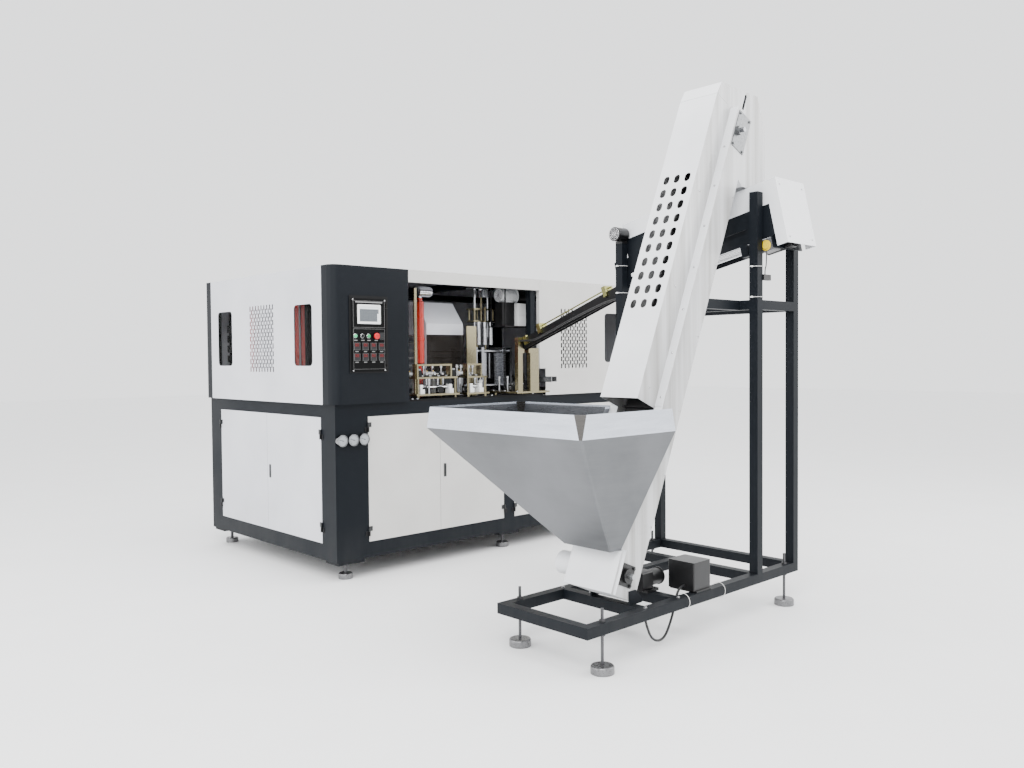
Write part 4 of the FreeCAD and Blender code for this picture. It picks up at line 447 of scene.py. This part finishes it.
def tail_finish():
    """The tail shaft in steel with its white end cover."""
    cover_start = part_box("tail_drum")[1][1] - 0.135
    finish = Finish("tail shaft and cover", Roughness=0.35)
    skin = finish.effect("paint skin", Scale=300.0, Depth=0.15)
    past = finish.effect("past plane", Facing=(0, 1, 0), Reach=cover_start)["Past"]
    steel = finish.blend(skin["Patches"], (0.40, 0.41, 0.42, 1), (0.55, 0.56, 0.57, 1))
    finish.set("Base Color", finish.blend(past, steel, (*feeder_white, 1)))
    finish.set("Metallic", finish.sum("SUBTRACT", 1.0, past))
    finish.set("Normal", skin["Normal"])
    return finish.material


def bearing_finish():
    """Dark zinc plates at the head, and black bearings at the foot."""
    foot_height = 0.8
    finish = Finish("bearing plates")
    zinc = finish.effect("zinc spangle", Scale=110.0)
    foot = finish.effect("past plane", Facing=(0, 0, -1), Reach=-foot_height)["Past"]
    tone = finish.blend(zinc["Crystal"], (0.13, 0.135, 0.14, 1), (0.26, 0.265, 0.27, 1))
    finish.set("Base Color", finish.blend(foot, tone, (*black, 1)))
    finish.set("Metallic", finish.span(foot, 0.0, 1.0, 0.9, 0.0))
    finish.set("Roughness", finish.span(zinc["Crystal"], 0.0, 1.0, 0.3, 0.5))
    finish.set("Normal", zinc["Normal"])
    return finish.material


def red_light_finish():
    """The faintly lit bars of the controllers' numerals."""
    finish = Finish("red lit bars", Roughness=0.3, Emission_Strength=0.12)
    skin = finish.effect("paint skin", Scale=300.0, Depth=0.05)
    finish.set("Base Color", finish.blend(skin["Patches"], (0.20, 0.008, 0.010, 1), (0.28, 0.012, 0.014, 1)))
    finish.set("Emission Color", finish.blend(skin["Patches"], (0.9, 0.02, 0.02, 1), (1.0, 0.05, 0.04, 1)))
    return finish.material


def slot_finishes():
    """One finish for each material slot of the record."""
    return {
        "dark_frame": paint("charcoal frame paint", charcoal, 0.46, peel=380, depth=0.16, dust=0.04,
                            dust_height=0.35, gloss=0.12),
        "dark_panel": paint("charcoal panel paint", panel_charcoal, 0.46, peel=700, depth=0.3,
                            dust=0.02, gloss=0.14),
        "black_deck": paint("black deck paint", deck_black, 0.45, peel=400, dust=0.05, gloss=0.12),
        "black_fittings": paint("black fittings", black, 0.4, peel=500, dust=0.03, gloss=0.2),
        "white_panel": paint("panel white", panel_white, dust=0.12, **baked),
        "white_feeder": paint("feeder white", feeder_white, **smooth_baked),
        "red_paint": paint("signal red", (0.55, 0.02, 0.008), 0.28, peel=300, depth=0.15, dust=0.05,
                           coat=0.3),
        "cast_silver": paint("silver casting", silver, 0.34, **cast),
        "stud_steel": brushed("black steel studs", (0.09, 0.09, 0.095), 0.4, stretch=(200, 200, 8),
                              dust=0.05),
        "machined_steel": brushed("machined steel", (0.27, 0.275, 0.29), 0.25,
                                  stretch=(5, 220, 220), dust=0.03),
        "chromed_steel": brushed("polished rods", (0.68, 0.69, 0.71), 0.14, stretch=(60, 60, 400),
                                 depth=0.03, dust=0.03, scratches=0.1),
        "zinc_plate": brushed("yellow zinc", (0.27, 0.24, 0.155), 0.27, stretch=(160, 6, 160), dust=0.03),
        "pad_steel": galvanised("zinc pads", (0.20, 0.20, 0.205), 0.34, scale=160.0),
        "galvanised": bearing_finish(),
        "hopper_steel": hopper_finish(),
        "bezel_metal": bezel_finish(),
        "white_plastic": moulded("white plastic", (0.80, 0.80, 0.80), 0.35),
        "black_plastic": moulded("black plastic", (0.010, 0.010, 0.011), 0.42),
        "green_plastic": moulded("green plastic", (0.01, 0.30, 0.09), 0.25, **fine),
        "red_plastic": moulded("red plastic", (0.55, 0.012, 0.015), 0.25, **fine),
        "belt_rubber": moulded("belt rubber", (0.016, 0.016, 0.017), 0.6, grain=250, depth=0.4),
        "cable_rubber": moulded("cable rubber", (0.010, 0.010, 0.011), 0.45, grain=600, depth=0.15),
        "screen": screen_picture(),
        "clear_pane": pane("clear pane", (0.02, 0.022, 0.022), 0.06, solid=0.10),
        "smoked_pane": pane("smoked pane", (0.022, 0.019, 0.017), 0.05, solid=0.72),
    }


def special_finishes():
    """Finishes for the nodes that don't look like the rest of their slot."""
    blower_patches = (((1.68, 0.1, 1.6), (1.86, 0.32, 1.787), duct_white),
                      ((1.711, 0.1, 1.787), (1.86, 0.32, 1.95), black),
                      ((1.1, -1.3, 2.0), (1.4, -1.1, 2.3), black))
    drive_patches = (((1.275, -2.3, 1.84), (1.385, -2.0, 2.1), changer_grey),
                     ((1.275, -2.3, 1.84), (1.3005, -2.0, 2.1), changer_yellow))
    special = {
        "tail_drum": tail_finish(),
        "head_drum": finishes["machined_steel"],
        "control_door": paint("control panel black", panel_black, 0.35, peel=600, depth=0.12,
                              dust=0.01, gloss=0.12),
        "front_panels": paint("front panel white", warm_white, dust=0.05, **baked),
        "pressure_gauges": brushed("gauge cases", (0.25, 0.255, 0.26), 0.12, stretch=(150, 5, 150),
                                   depth=0.04, dust=0.02),
        "fan_motors": paint("blower castings", silver, 0.3, patches=blower_patches, **cast),
        "drive_motors": paint("drive castings", black, 0.36, peel=300, depth=0.3, dust=0.05,
                              gloss=0.4, patches=drive_patches),
        "chute_clamps": brushed("clamp zinc", (0.30, 0.29, 0.12), 0.3, stretch=(120, 120, 120), dust=0.03),
        "outlet_channel": brushed("outlet sheet", (0.62, 0.63, 0.64), 0.25, stretch=(5, 160, 160),
                                  depth=0.05, dust=0.02),
    }
    door_skin = 0.0004
    base_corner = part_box("base_frame")[0]
    front_fittings = ((0, -1, 0), -(base_corner[1] - door_skin))
    end_fittings = ((-1, 0, 0), -(base_corner[0] - door_skin))
    front_door_paint = paint("front door white", warm_white, dust=0.12, fittings=front_fittings, **baked)
    end_door_paint = paint("end door white", panel_white, dust=0.12, fittings=end_fittings, **baked)
    special.update({name: front_door_paint for name in nodes if name.startswith("front_door")})
    special.update({name: end_door_paint for name in nodes if name.startswith("end_door")})
    # Painted shade on these three, on their faces that look towards -Y.
    for name in ("elevator_cover", "elevator_trough", "head_hood"):
        special[name] = paint(name.replace("_", " ") + " white", feeder_white, side_shade=0.75, **smooth_baked)
    return special


finishes = slot_finishes()
red_lit = red_light_finish()
printed = moulded("printed line", (0.22, 0.22, 0.22), 0.5, **fine)
dial_white = moulded("dial card", (0.36, 0.38, 0.40), 0.5, **fine)
tie_nylon = moulded("nylon ties", (0.78, 0.78, 0.76), 0.35, grain=300, depth=0.1)
bolt_zinc = brushed("bolt zinc", (0.55, 0.55, 0.56), 0.25, **small_parts)
brass = brushed("brass fittings", (0.62, 0.45, 0.17), 0.25, **small_parts)


def finish_nodes():
    """Gives every CAD node its own finish, or that of its slot."""
    special = special_finishes()
    slot_of = {entry["node"]: entry["material_slot"] for entry in frame["record"]["subparts"]}
    for name, node in nodes.items():
        node.data.materials.clear()
        node.data.materials.append(special.get(name) or finishes[slot_of[name]])


finish_nodes()


# -------- cords

def cord_piece(name, route, radius, node, body="machine"):
    """A smooth round cord on a NURBS line through a chain of control points."""
    curve = bpy.data.curves.new(name, "CURVE")
    curve.dimensions = "3D"
    curve.bevel_depth = radius
    curve.bevel_resolution = 6
    curve.use_fill_caps = True
    spline = curve.splines.new("NURBS")
    spline.points.add(len(route) - 1)
    for point, place in zip(spline.points, route):
        point.co = (*at(*place), 1.0)
    spline.order_u = 3
    spline.use_endpoint_u = True
    spline.resolution_u = 24
    piece = added(name, curve)
    curve.materials.append(finishes["cable_rubber"])
    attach(piece, body)
    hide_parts(node)
    return piece


def line_length(route):
    """The length of the smooth line, from many short steps along its arcs."""
    total = 0.0
    arc_steps = 20
    ends = [Vector(route[0])] + [(Vector(a) + Vector(b)) / 2 for a, b in zip(route[1:-2], route[2:-1])]
    ends.append(Vector(route[-1]))
    for middle, start, end in zip(route[1:-1], ends[:-1], ends[1:]):
        last = start
        for step in range(1, arc_steps + 1):
            t = step / arc_steps
            point = start * (1 - t) ** 2 + Vector(middle) * 2 * t * (1 - t) + end * t ** 2
            total += (point - last).length
            last = point
    return total


drive_route = ((0.6897, -2.085, 0.255), (0.65, -2.085, 0.255), (0.622, -2.085, 0.215), (0.585, -2.085, 0.11),
               (0.52, -2.085, 0.02), (0.43, -2.085, 0.04), (0.385, -2.085, 0.13), (0.372, -2.085, 0.19),
               (0.372, -2.1047, 0.19))
hose_route = ((1.42, -1.1897, 1.65), (1.42, -1.14, 1.65), (1.434, -1.08, 1.77477), (1.434, -0.7, 1.65446),
              (1.434, -0.42, 1.54955), (1.42, -0.3, 1.5), (1.42, -0.2, 1.5), (1.42, -0.1643, 1.5))
sensor_route = ((1.313, -2.155, 1.8103), (1.313, -2.155, 1.84), (1.328, -2.155, 1.86),
                (1.328, -2.155, 1.92694))
for name, route, radius, node, stiffness in (
        ("drive lead", drive_route, 0.006, "drive_cable", "medium"),
        ("chute air hose", hose_route, 0.007, "chute_hose", "stiff"),
        ("sensor lead", sensor_route, 0.003, "sensor_cable", "medium")):
    piece = cord_piece(name.replace(" ", "_"), route, radius, node)
    line_length(route)


# -------- making pieces

templates = []


def only(*pieces):
    bpy.ops.object.select_all(action="DESELECT")
    for piece in pieces:
        piece.select_set(True)
    bpy.context.view_layer.objects.active = pieces[0]


def settled(piece, finish, angle=30.0):
    """Puts the place and size into the mesh, and gives the piece its finish."""
    only(piece)
    bpy.ops.object.transform_apply(location=True, rotation=True, scale=True)
    bpy.ops.object.shade_smooth_by_angle(angle=math.radians(angle))
    piece.data.materials.append(finish)
    templates.append(piece)
    return piece


def rounded_edges(piece, width, segments=2):
    only(piece)
    bevel = piece.modifiers.new("edge", "BEVEL")
    bevel.width = width
    bevel.segments = segments
    bevel.limit_method = "ANGLE"
    bpy.ops.object.modifier_apply(modifier=bevel.name)
    return piece


def turned(steps, finish, sides=32, edge=0.0):
    """A turned piece that stands on the origin: steps are (radius, height) up its axis Z."""
    bpy.ops.object.select_all(action="DESELECT")
    radius, height = steps[0]
    bpy.ops.mesh.primitive_circle_add(vertices=sides, radius=radius, fill_type="NGON",
                                      location=(0, 0, height))
    piece = bpy.context.object
    bpy.ops.object.mode_set(mode="EDIT")
    bpy.ops.mesh.select_all(action="SELECT")
    for wider, higher in steps[1:]:
        bpy.ops.mesh.extrude_region_move(TRANSFORM_OT_translate={"value": (0, 0, higher - height)})
        bpy.ops.transform.resize(value=(wider / radius, wider / radius, 1), center_override=(0, 0, higher))
        radius, height = wider, higher
    bpy.ops.mesh.select_all(action="SELECT")
    bpy.ops.mesh.normals_make_consistent(inside=False)
    bpy.ops.object.mode_set(mode="OBJECT")
    settled(piece, finish)
    return rounded_edges(piece, edge) if edge else piece


def slab(low, high, finish, edge=0.001):
    """A block with softened edges between two corners."""
    bpy.ops.object.select_all(action="DESELECT")
    middle = [(a + b) / 2 for a, b in zip(low, high)]
    bpy.ops.mesh.primitive_cube_add(size=1.0, location=middle, scale=[b - a for a, b in zip(low, high)])
    return rounded_edges(settled(bpy.context.object, finish), edge)


def ring(radius, thickness, finish):
    """A round loop that lies on the floor of its own frame."""
    bpy.ops.object.select_all(action="DESELECT")
    bpy.ops.mesh.primitive_torus_add(major_radius=radius, minor_radius=thickness, major_segments=40,
                                     minor_segments=10)
    return settled(bpy.context.object, finish, 60)


def framed(width, height, bar, finish, depth=0.0008):
    """A flat rectangular outline in the XZ plane, facing -Y, with its middle at the origin."""
    across, up, half, edge = width / 2, height / 2, bar / 2, bar / 5
    sides = [slab((-across, -depth, side - half), (across, 0, side + half), finish, edge)
             for side in (-up, up)]
    sides += [slab((side - half, -depth, -up), (side + half, 0, up), finish, edge)
              for side in (-across, across)]
    return merged(sides)


def merged(parts):
    only(*parts)
    for part in parts:
        templates.remove(part)
    bpy.ops.object.join()
    templates.append(bpy.context.object)
    return bpy.context.object


def spun(piece, degrees):
    piece.data.transform(Matrix.Rotation(math.radians(degrees), 4, "Z"))
    return piece


def aimed(place, way=(0, 0, 1)):
    """Puts the origin at a place, given in metres from the corner, and turns Z along way."""
    return Matrix.Translation(at(*place)) @ Vector(way).to_track_quat("Z", "Y").to_matrix().to_4x4()


def upright(x, y, z):
    return Matrix.Translation(at(x, y, z))


def copies(name, template, places, body="machine"):
    """One named piece that holds a copy of the template at every place."""
    made = []
    for place in places:
        piece = added(name, template.data.copy())
        piece.data.transform(place)
        made.append(piece)
    only(*made)
    if len(made) > 1:
        bpy.ops.object.join()
    piece = bpy.context.object
    piece.name = piece.data.name = name
    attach(piece, body)
    return piece


# -------- places on the feeder

tilt = math.radians(67.0)
lean = math.radians(12.5)
belt_foot_x, belt_foot_z = 0.357, 0.225
roller_head_y, roller_head_z = -2.24, 2.069
screw_gap = 0.0001  # a screw head stands this far off its sheet
seat = 0.0003  # a fitting stands this far off its plate
elevator_near = -2.05 - screw_gap
elevator_far = -1.82 + screw_gap
front, back, left, right = (0, -1, 0), (0, 1, 0), (-1, 0, 0), (1, 0, 0)


def belt(s, y, level):
    """A place in the elevator's own measure: s up the belt, level out from its back."""
    return (belt_foot_x + s * math.cos(tilt) - level * math.sin(tilt), y,
            belt_foot_z + s * math.sin(tilt) + level * math.cos(tilt))


def roller_way(x, a, n):
    """A place in the sorter's own measure: a along the rollers, n above their axes."""
    return (x, roller_head_y + a * math.cos(lean) + n * math.sin(lean),
            roller_head_z - a * math.sin(lean) + n * math.cos(lean))


# -------- fasteners and ties

bolt = turned([(0.0105, 0.0), (0.0105, 0.0016), (0.0080, 0.0016), (0.0080, 0.0062), (0.0066, 0.0072)],
              bolt_zinc, 6)
small_bolt = turned([(0.0062, 0.0), (0.0062, 0.001), (0.0048, 0.001), (0.0048, 0.0034), (0.0036, 0.0042)],
                    bolt_zinc, 6)
dome_screw = turned([(0.0052, 0.0), (0.0050, 0.0012), (0.0040, 0.0024), (0.0022, 0.0030), (0.0020, 0.0016)],
                    bolt_zinc, 20)
black_screw = turned([(0.0062, 0.0), (0.0060, 0.0012), (0.0048, 0.0026), (0.0024, 0.0032), (0.0020, 0.0016)],
                     finishes["black_fittings"], 20)
cable_tie = merged([ring(0.0372, 0.0013, tie_nylon),
                    slab((0.034, -0.006, -0.004), (0.046, 0.006, 0.004), tie_nylon, 0.0012)])


def feeder_fasteners():
    """Bolts and screws in the sheets, and cable ties and bolts on the floor frame."""
    flange_level, flange_lines = 0.2246, (-2.073, -1.797)
    first_bolt, bolt_step, bolt_count = 0.95, 0.23, 7
    cover_level, cover_steps = 0.30, (0.97, 1.5, 2.03)
    low_row, top_row = 0.03, 0.205
    post_x, near_post_y, far_post_y, tube_z, tube_top = 1.265, -2.13, -1.215, 0.2, 0.2251
    out_of_belt = (-math.sin(tilt), 0, math.cos(tilt))
    out_of_sorter = (0, -math.cos(lean), math.sin(lean))
    copies("cover_flange_bolts", small_bolt,
           [aimed(belt(first_bolt + bolt_step * step, y, flange_level), out_of_belt)
            for step in range(bolt_count) for y in flange_lines])
    copies("cover_side_screws", dome_screw,
           [aimed(belt(s, elevator_near, cover_level), front) for s in cover_steps]
           + [aimed(belt(s, elevator_far, cover_level), back) for s in cover_steps])
    copies("trough_side_screws", dome_screw,
           [aimed(belt(s, elevator_near, level), front) for s in (0.36, 0.62, 0.95, 1.35, 1.75, 2.15)
            for level in (low_row, top_row)])
    copies("post_cable_ties", cable_tie,
           [aimed((post_x, near_post_y, z)) for z in (1.85, 1.69)]
           + [aimed((post_x, far_post_y, z)) for z in (1.926, 1.765)]
           + [aimed((x, near_post_y, tube_z), right) for x in (0.62, 0.92)])
    copies("floor_frame_bolts", bolt,
           [aimed((x, y, tube_top)) for x in (0.325, 0.575) for y in (near_post_y, -1.61)])
    copies("trough_dark_screws", black_screw,
           [aimed(belt(s, elevator_near, top_row), front) for s in (0.48, 1.15, 1.95)])
    copies("near_cover_screws", dome_screw,
           [aimed(roller_way(x, -0.0342, n), out_of_sorter) for x in (1.33, 1.56) for n in (-0.08, 0.205)])


# -------- control panel and gauges

def lit_numeral():
    """A plain seven bar eight."""
    stroke, reach, proud = 0.0008, 0.0034, 0.0006
    step = stroke + reach
    bars = [slab((stroke, -proud, foot), (step, 0, foot + stroke), red_lit, 0.00012)
            for foot in (0.0, step, 2 * step)]
    bars += [slab((side, -proud, foot), (side + stroke, 0, foot + reach), red_lit, 0.00012)
             for foot in (stroke, step + stroke) for side in (0.0, step)]
    return merged(bars)


def on_door(name, template, places):
    copies(name, template, places, "control_door")


def control_panel():
    """Screws, printed outlines, blank labels and the controllers' numerals."""
    panel_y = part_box("control_door")[0][1] - corner.y
    meter_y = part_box("panel_meters")[0][1] - corner.y
    middle, line, thin_line = 0.2575, 0.0011, 0.0007
    columns = (0.166, 0.228, 0.288, 0.349)
    cells = [(x, z) for x in columns for z in (1.459, 1.393)]
    on_door("panel_screws", dome_screw,
            [aimed((x, panel_y, z), front) for x in (0.139, 0.376) for z in (1.309, 1.749)])
    for name, height, z in (("panel_upper_outline", 0.165, 1.660), ("panel_lower_outline", 0.250, 1.443)):
        on_door(name, framed(0.232, height, line, printed), [upright(middle, panel_y, z)])
    blank_label = slab((-0.012, -0.0007, -0.0028), (0.012, 0, 0.0028), printed, 0.0002)
    on_door("panel_blank_labels", blank_label,
            [upright(x, panel_y, 1.497) for x in (0.158, 0.21, 0.255, 0.309)]
            + [upright(x, panel_y, z) for x in columns for z in (1.427, 1.361)])
    on_door("panel_plain_strips", slab((-0.1, -0.0007, -0.0035), (0.1, 0, 0.0035), printed, 0.0002),
            [upright(middle, panel_y, 1.7345)])
    first_numeral, numeral_step, window_depth = -0.0135, 0.0072, 0.0015
    on_door("controller_numerals", lit_numeral(),
            [upright(x + first_numeral + column * numeral_step, meter_y + window_depth, z + row)
             for x, z in cells for column in range(4) for row in (0.0095, -0.0005)])
    on_door("controller_outlines", framed(0.042, 0.042, thin_line, printed),
            [upright(x, meter_y, z) for x, z in cells])


def pressure_gauges():
    """A card, a ring of eleven ticks, a boss and a needle in each gauge."""
    tick_count, first_tick, tick_step, reading, glass_depth = 11, 135, 27, 70, 0.004
    ink = finishes["black_plastic"]
    card_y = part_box("pressure_gauges")[0][1] - corner.y + glass_depth
    card = turned([(0.0325, 0.0), (0.0325, 0.0005), (0.0318, 0.0009)], dial_white, 48)
    marks = [turned([(0.0030, 0.0009), (0.0030, 0.0024), (0.0018, 0.0030)], ink, 20)]
    marks += [spun(slab((-0.0008, 0.0215, 0.0008), (0.0008, 0.0290, 0.0012), ink, 0.0001),
                   first_tick - tick_step * step) for step in range(tick_count)]
    marks.append(spun(slab((-0.0013, -0.009, 0.0014), (0.0013, 0.0255, 0.0019), ink, 0.0003), reading))
    marks.append(ring(0.0322, 0.0011, ink))
    to_front = Matrix.Rotation(math.radians(90), 4, "X")
    spots = [upright(x, card_y, 0.878) @ to_front for x in (0.068, 0.148, 0.227)]
    copies("gauge_cards", card, spots)
    copies("gauge_marks", merged(marks), spots)


# -------- fan grilles

def fan_grilles():
    """Three wire rings on four crossed bars, over each fan's mouth."""
    wire = finishes["bezel_metal"]
    parts = [ring(radius, 0.0014, wire) for radius in (0.013, 0.024, 0.035)]
    parts += [spun(slab((-0.037, -0.0012, -0.0012), (0.037, 0.0012, 0.0012), wire, 0.0004), 45 * spoke)
              for spoke in range(4)]
    grille = merged(parts)
    copies("post_fan_grille", grille, [aimed((1.1985, -1.215, 2.114), left)])
    copies("blower_grille", grille, [aimed((1.5585, 0.215, 1.846), left)])


# -------- working room

deck_top = 1.100 + 0.012
lower_plate = deck_top + 0.018 + 0.012
upper_plate = lower_plate + 0.102 + 0.012


def on_lower(*spots):
    return [upright(x, y, lower_plate + seat) for x, y in spots]


def on_upper(*spots):
    return [upright(x, y, upper_plate + seat) for x, y in spots]


def gripper_finger():
    steel = finishes["machined_steel"]
    return merged([slab((-0.011, -0.045, 0.0), (0.011, 0.045, 0.012), steel, 0.002),
                   slab((-0.016, 0.030, -0.008), (0.016, 0.060, 0.004), finishes["black_fittings"], 0.002),
                   slab((-0.004, 0.055, -0.006), (0.004, 0.085, 0.002), steel, 0.0015),
                   turned([(0.009, 0.012), (0.009, 0.026), (0.006, 0.028)], finishes["chromed_steel"], 24)])


def air_cylinder():
    """A barrel between two end caps, with its rod and nut."""
    return merged([turned([(0.013, 0.0), (0.016, 0.0015), (0.016, 0.013), (0.0125, 0.013), (0.0125, 0.070),
                           (0.016, 0.070), (0.016, 0.082), (0.008, 0.083), (0.008, 0.090)],
                          finishes["cast_silver"], 28, 0.0006),
                   turned([(0.0042, 0.088), (0.0042, 0.120)], finishes["chromed_steel"], 20),
                   turned([(0.0075, 0.116), (0.0075, 0.128), (0.006, 0.129)], finishes["black_fittings"], 6)])


def hose_elbow():
    return merged([turned([(0.0062, 0.0), (0.0062, 0.006), (0.0045, 0.006), (0.0045, 0.012)],
                          brass, 6, 0.0005),
                   turned([(0.0052, 0.010), (0.0056, 0.012), (0.0056, 0.024), (0.0040, 0.026)],
                          finishes["black_plastic"], 20)])


def air_valve():
    """A black coil on a steel foot, with a bright plate on its side."""
    return merged([slab((-0.02, -0.016, 0.0), (0.02, 0.016, 0.044), finishes["black_fittings"], 0.002),
                   slab((-0.014, -0.012, 0.0435), (0.014, 0.012, 0.056), finishes["machined_steel"], 0.0015),
                   slab((-0.0215, -0.010, 0.010), (-0.0195, 0.010, 0.034), finishes["bezel_metal"], 0.0005)])


def table_fittings():
    """What stands on the transfer tables, the infeed plate and the deck."""
    barrel = 0.0162  # how far a lying cylinder's axis is above its seat
    finger, cylinder, elbow, valve = gripper_finger(), air_cylinder(), hose_elbow(), air_valve()
    collar = turned([(0.013, 0.0), (0.0165, 0.002), (0.0165, 0.014), (0.013, 0.016)],
                    finishes["machined_steel"], 28)
    pillar = turned([(0.0065, 0.0), (0.0065, 0.09), (0.0095, 0.09), (0.0095, 0.104), (0.007, 0.106)],
                    finishes["chromed_steel"], 24)
    axis_z = upper_plate + seat + barrel
    elbow_z = upper_plate + 0.032
    copies("left_table_fingers", finger, on_upper(*[(x, 0.135) for x in (0.75, 0.82, 0.89, 0.96)]))
    copies("right_table_fingers", finger, on_upper(*[(x, 0.090) for x in (1.135, 1.19, 1.245)]))
    copies("left_table_cylinders", cylinder,
           [aimed((x, 0.215, axis_z), right) for x in (0.72, 0.87)]
           + [aimed((x, 0.225, lower_plate + 0.001)) for x in (0.78, 0.95)])
    copies("right_table_cylinders", cylinder,
           [aimed((1.12, 0.165, axis_z), right), aimed((1.24, 0.06, lower_plate + 0.001))])
    copies("cylinder_elbows", elbow,
           [aimed((x, 0.215, elbow_z)) for x in (0.735, 0.79, 0.885, 0.94)]
           + [aimed((x, 0.165, elbow_z)) for x in (1.135, 1.19)]
           + [aimed((0.2855, 0.335, 1.83))])
    copies("shaft_collars", collar, [aimed((x, 0.225, upper_plate + seat)) for x in (0.70, 1.03)])
    copies("infeed_plate_bolts", bolt,
           [aimed((x, y, lower_plate + seat)) for x in (1.40, 1.685) for y in (-0.15, -0.02, 0.1)])
    copies("deck_bolts", bolt, [aimed((x, 0.03, deck_top + seat)) for x in (0.62, 0.66, 1.32, 1.73)])
    copies("left_table_valves", valve,
           on_lower((0.765, 0.10), (0.83, 0.15), (0.90, 0.095), (0.985, 0.14))
           + on_upper((0.715, 0.09), (1.02, 0.10)))
    copies("right_table_valves", valve, on_lower((1.125, 0.09), (1.18, 0.14), (1.25, 0.10)))
    copies("table_pillars", pillar,
           on_lower((0.735, 0.16), (0.80, 0.085), (0.865, 0.20), (0.935, 0.16),
                    (1.005, 0.19), (1.145, 0.175), (1.215, 0.09), (1.27, 0.16)))
    copies("infeed_valves", valve, on_lower((1.455, -0.04), (1.60, 0.02), (1.655, -0.08)))
    copies("infeed_pillars", pillar, on_lower((1.43, 0.07), (1.52, 0.08), (1.63, 0.07)))


def red_pipe_sleeve():
    sleeve = turned([(0.021, 0.0), (0.029, 0.004), (0.029, 0.16), (0.0315, 0.163), (0.0315, 0.18),
                     (0.029, 0.183), (0.029, 0.43), (0.021, 0.436)], finishes["red_paint"], 36)
    copies("red_pipe_sleeve", sleeve, [upright(0.885, 0.29, 1.345)])


def things_behind_the_windows():
    """A red column with a pale strip behind one end window, and a stack of valves behind the other."""
    red, dark = finishes["red_paint"], finishes["black_fittings"]
    column = merged([slab((0.0, 0.0, 0.0), (0.05, 0.145, 0.66), red, 0.004),
                     slab((-0.006, 0.062, 0.02), (0.0, 0.082, 0.64), dial_white, 0.001),
                     slab((-0.012, -0.045, 0.0), (0.04, -0.006, 0.66), dark, 0.002)])
    copies("inner_red_column", column, [upright(0.17, 0.605, deck_top + seat)])
    first_row, row_step, row_height, row_count = 0.10, 0.075, 0.055, 6
    rows = []
    for row in range(row_count):
        foot = first_row + row_step * row
        rows.append(slab((-0.022, 0.012, foot), (0.0, 0.148, foot + row_height),
                         finishes["pad_steel" if row % 2 else "black_plastic"], 0.003))
    stack = merged([slab((0.0, 0.0, 0.0), (0.10, 0.16, 0.62), dark, 0.004)] + rows
                   + [slab((-0.04, 0.0, 0.02), (-0.002, 0.07, 0.09), red, 0.006)])
    copies("inner_valve_stack", stack, [upright(0.165, 1.575, deck_top + seat)])


def stretch_sleeves():
    sleeve = turned([(0.012, 0.0), (0.016, 0.003), (0.016, 0.150), (0.019, 0.150), (0.019, 0.172)],
                    finishes["chromed_steel"], 32)
    copies("stretch_sleeves", sleeve, [upright(x, 0.322, 1.4775) for x in (1.455, 1.515, 1.575)],
           "stretch_carriage")


def heater_lamps():
    """Five white lamps with silver ends, one above the other in the heater hood."""
    first_lamp, lamp_step, lamp_count, lamp_inset = 1.33, 0.055, 5, 0.05
    caps = finishes["cast_silver"]
    lamp_tube = merged([turned([(0.008, 0.0), (0.008, 0.27)], finishes["white_plastic"], 20),
                        turned([(0.011, -0.012), (0.011, 0.004)], caps, 20, 0.001),
                        turned([(0.011, 0.266), (0.011, 0.282)], caps, 20, 0.001)])
    lamp_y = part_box("heater_hood")[1][1] - corner.y - lamp_inset
    copies("heater_lamps", lamp_tube,
           [aimed((0.985, lamp_y, first_lamp + lamp_step * row), right) for row in range(lamp_count)])


for build in (feeder_fasteners, control_panel, pressure_gauges, fan_grilles,
              table_fittings, red_pipe_sleeve, things_behind_the_windows, stretch_sleeves, heater_lamps):
    build()
for piece in templates:
    bpy.data.objects.remove(piece)


# -------- floor, light and camera

def studio():
    """A pale floor, an even pale sky and four soft lamps."""
    bpy.ops.object.select_all(action="DESELECT")
    bpy.ops.mesh.primitive_plane_add(size=60.0, location=(0, 0, -0.001))
    floor = bpy.context.object
    floor.name = "studio_floor"
    finish = Finish("pale floor", Roughness=0.6)
    skin = finish.effect("paint skin", Scale=40.0, Depth=0.03)
    tone = finish.blend(skin["Patches"], (0.93, 0.93, 0.93, 1), (0.95, 0.95, 0.95, 1))
    finish.set("Base Color", tone)
    floor.data.materials.append(finish.material)
    world = bpy.data.worlds.new("studio")
    world.use_nodes = True
    sky = world.node_tree.nodes["Background"].inputs
    sky["Color"].default_value = (0.98, 0.99, 1.0, 1)
    sky["Strength"].default_value = 2.0
    bpy.context.scene.world = world
    for name, place, aim, size, power in (
            ("key", (-4.5, -5.0, 6.0), (0.6, 0.0, 1.0), 4.0, 520.0),
            ("fill", (5.5, -5.5, 4.0), (1.2, -0.8, 1.0), 4.0, 200.0),
            ("left_side", (-6.0, 1.0, 3.0), (0.0, 0.8, 1.0), 4.0, 190.0),
            ("top", (0.5, -1.5, 7.0), (0.8, -0.5, 0.8), 5.0, 240.0)):
        lamp_data = bpy.data.lights.new(name, "AREA")
        lamp_data.shape = "DISK"
        lamp_data.size = size
        lamp_data.energy = power
        light = added(name, lamp_data)
        light.location = at(*place)
        light.rotation_euler = (at(*aim) - at(*place)).to_track_quat("-Z", "Y").to_euler()


def camera():
    """A nearly level view across the front left corner."""
    yaw, pitch, roll = -43.11, 90 - 1.691, -0.475
    data = bpy.data.cameras.new("camera")
    data.lens = 31.05
    data.sensor_width = 36.0
    data.clip_end = 100.0
    piece = added("camera", data)
    turn = (Matrix.Rotation(math.radians(yaw), 4, "Z") @ Matrix.Rotation(math.radians(pitch), 4, "X")
            @ Matrix.Rotation(math.radians(roll), 4, "Z"))
    piece.matrix_world = Matrix.Translation(at(-2.8706, -4.6587, 1.38)) @ turn
    bpy.context.scene.camera = piece


studio()
camera()
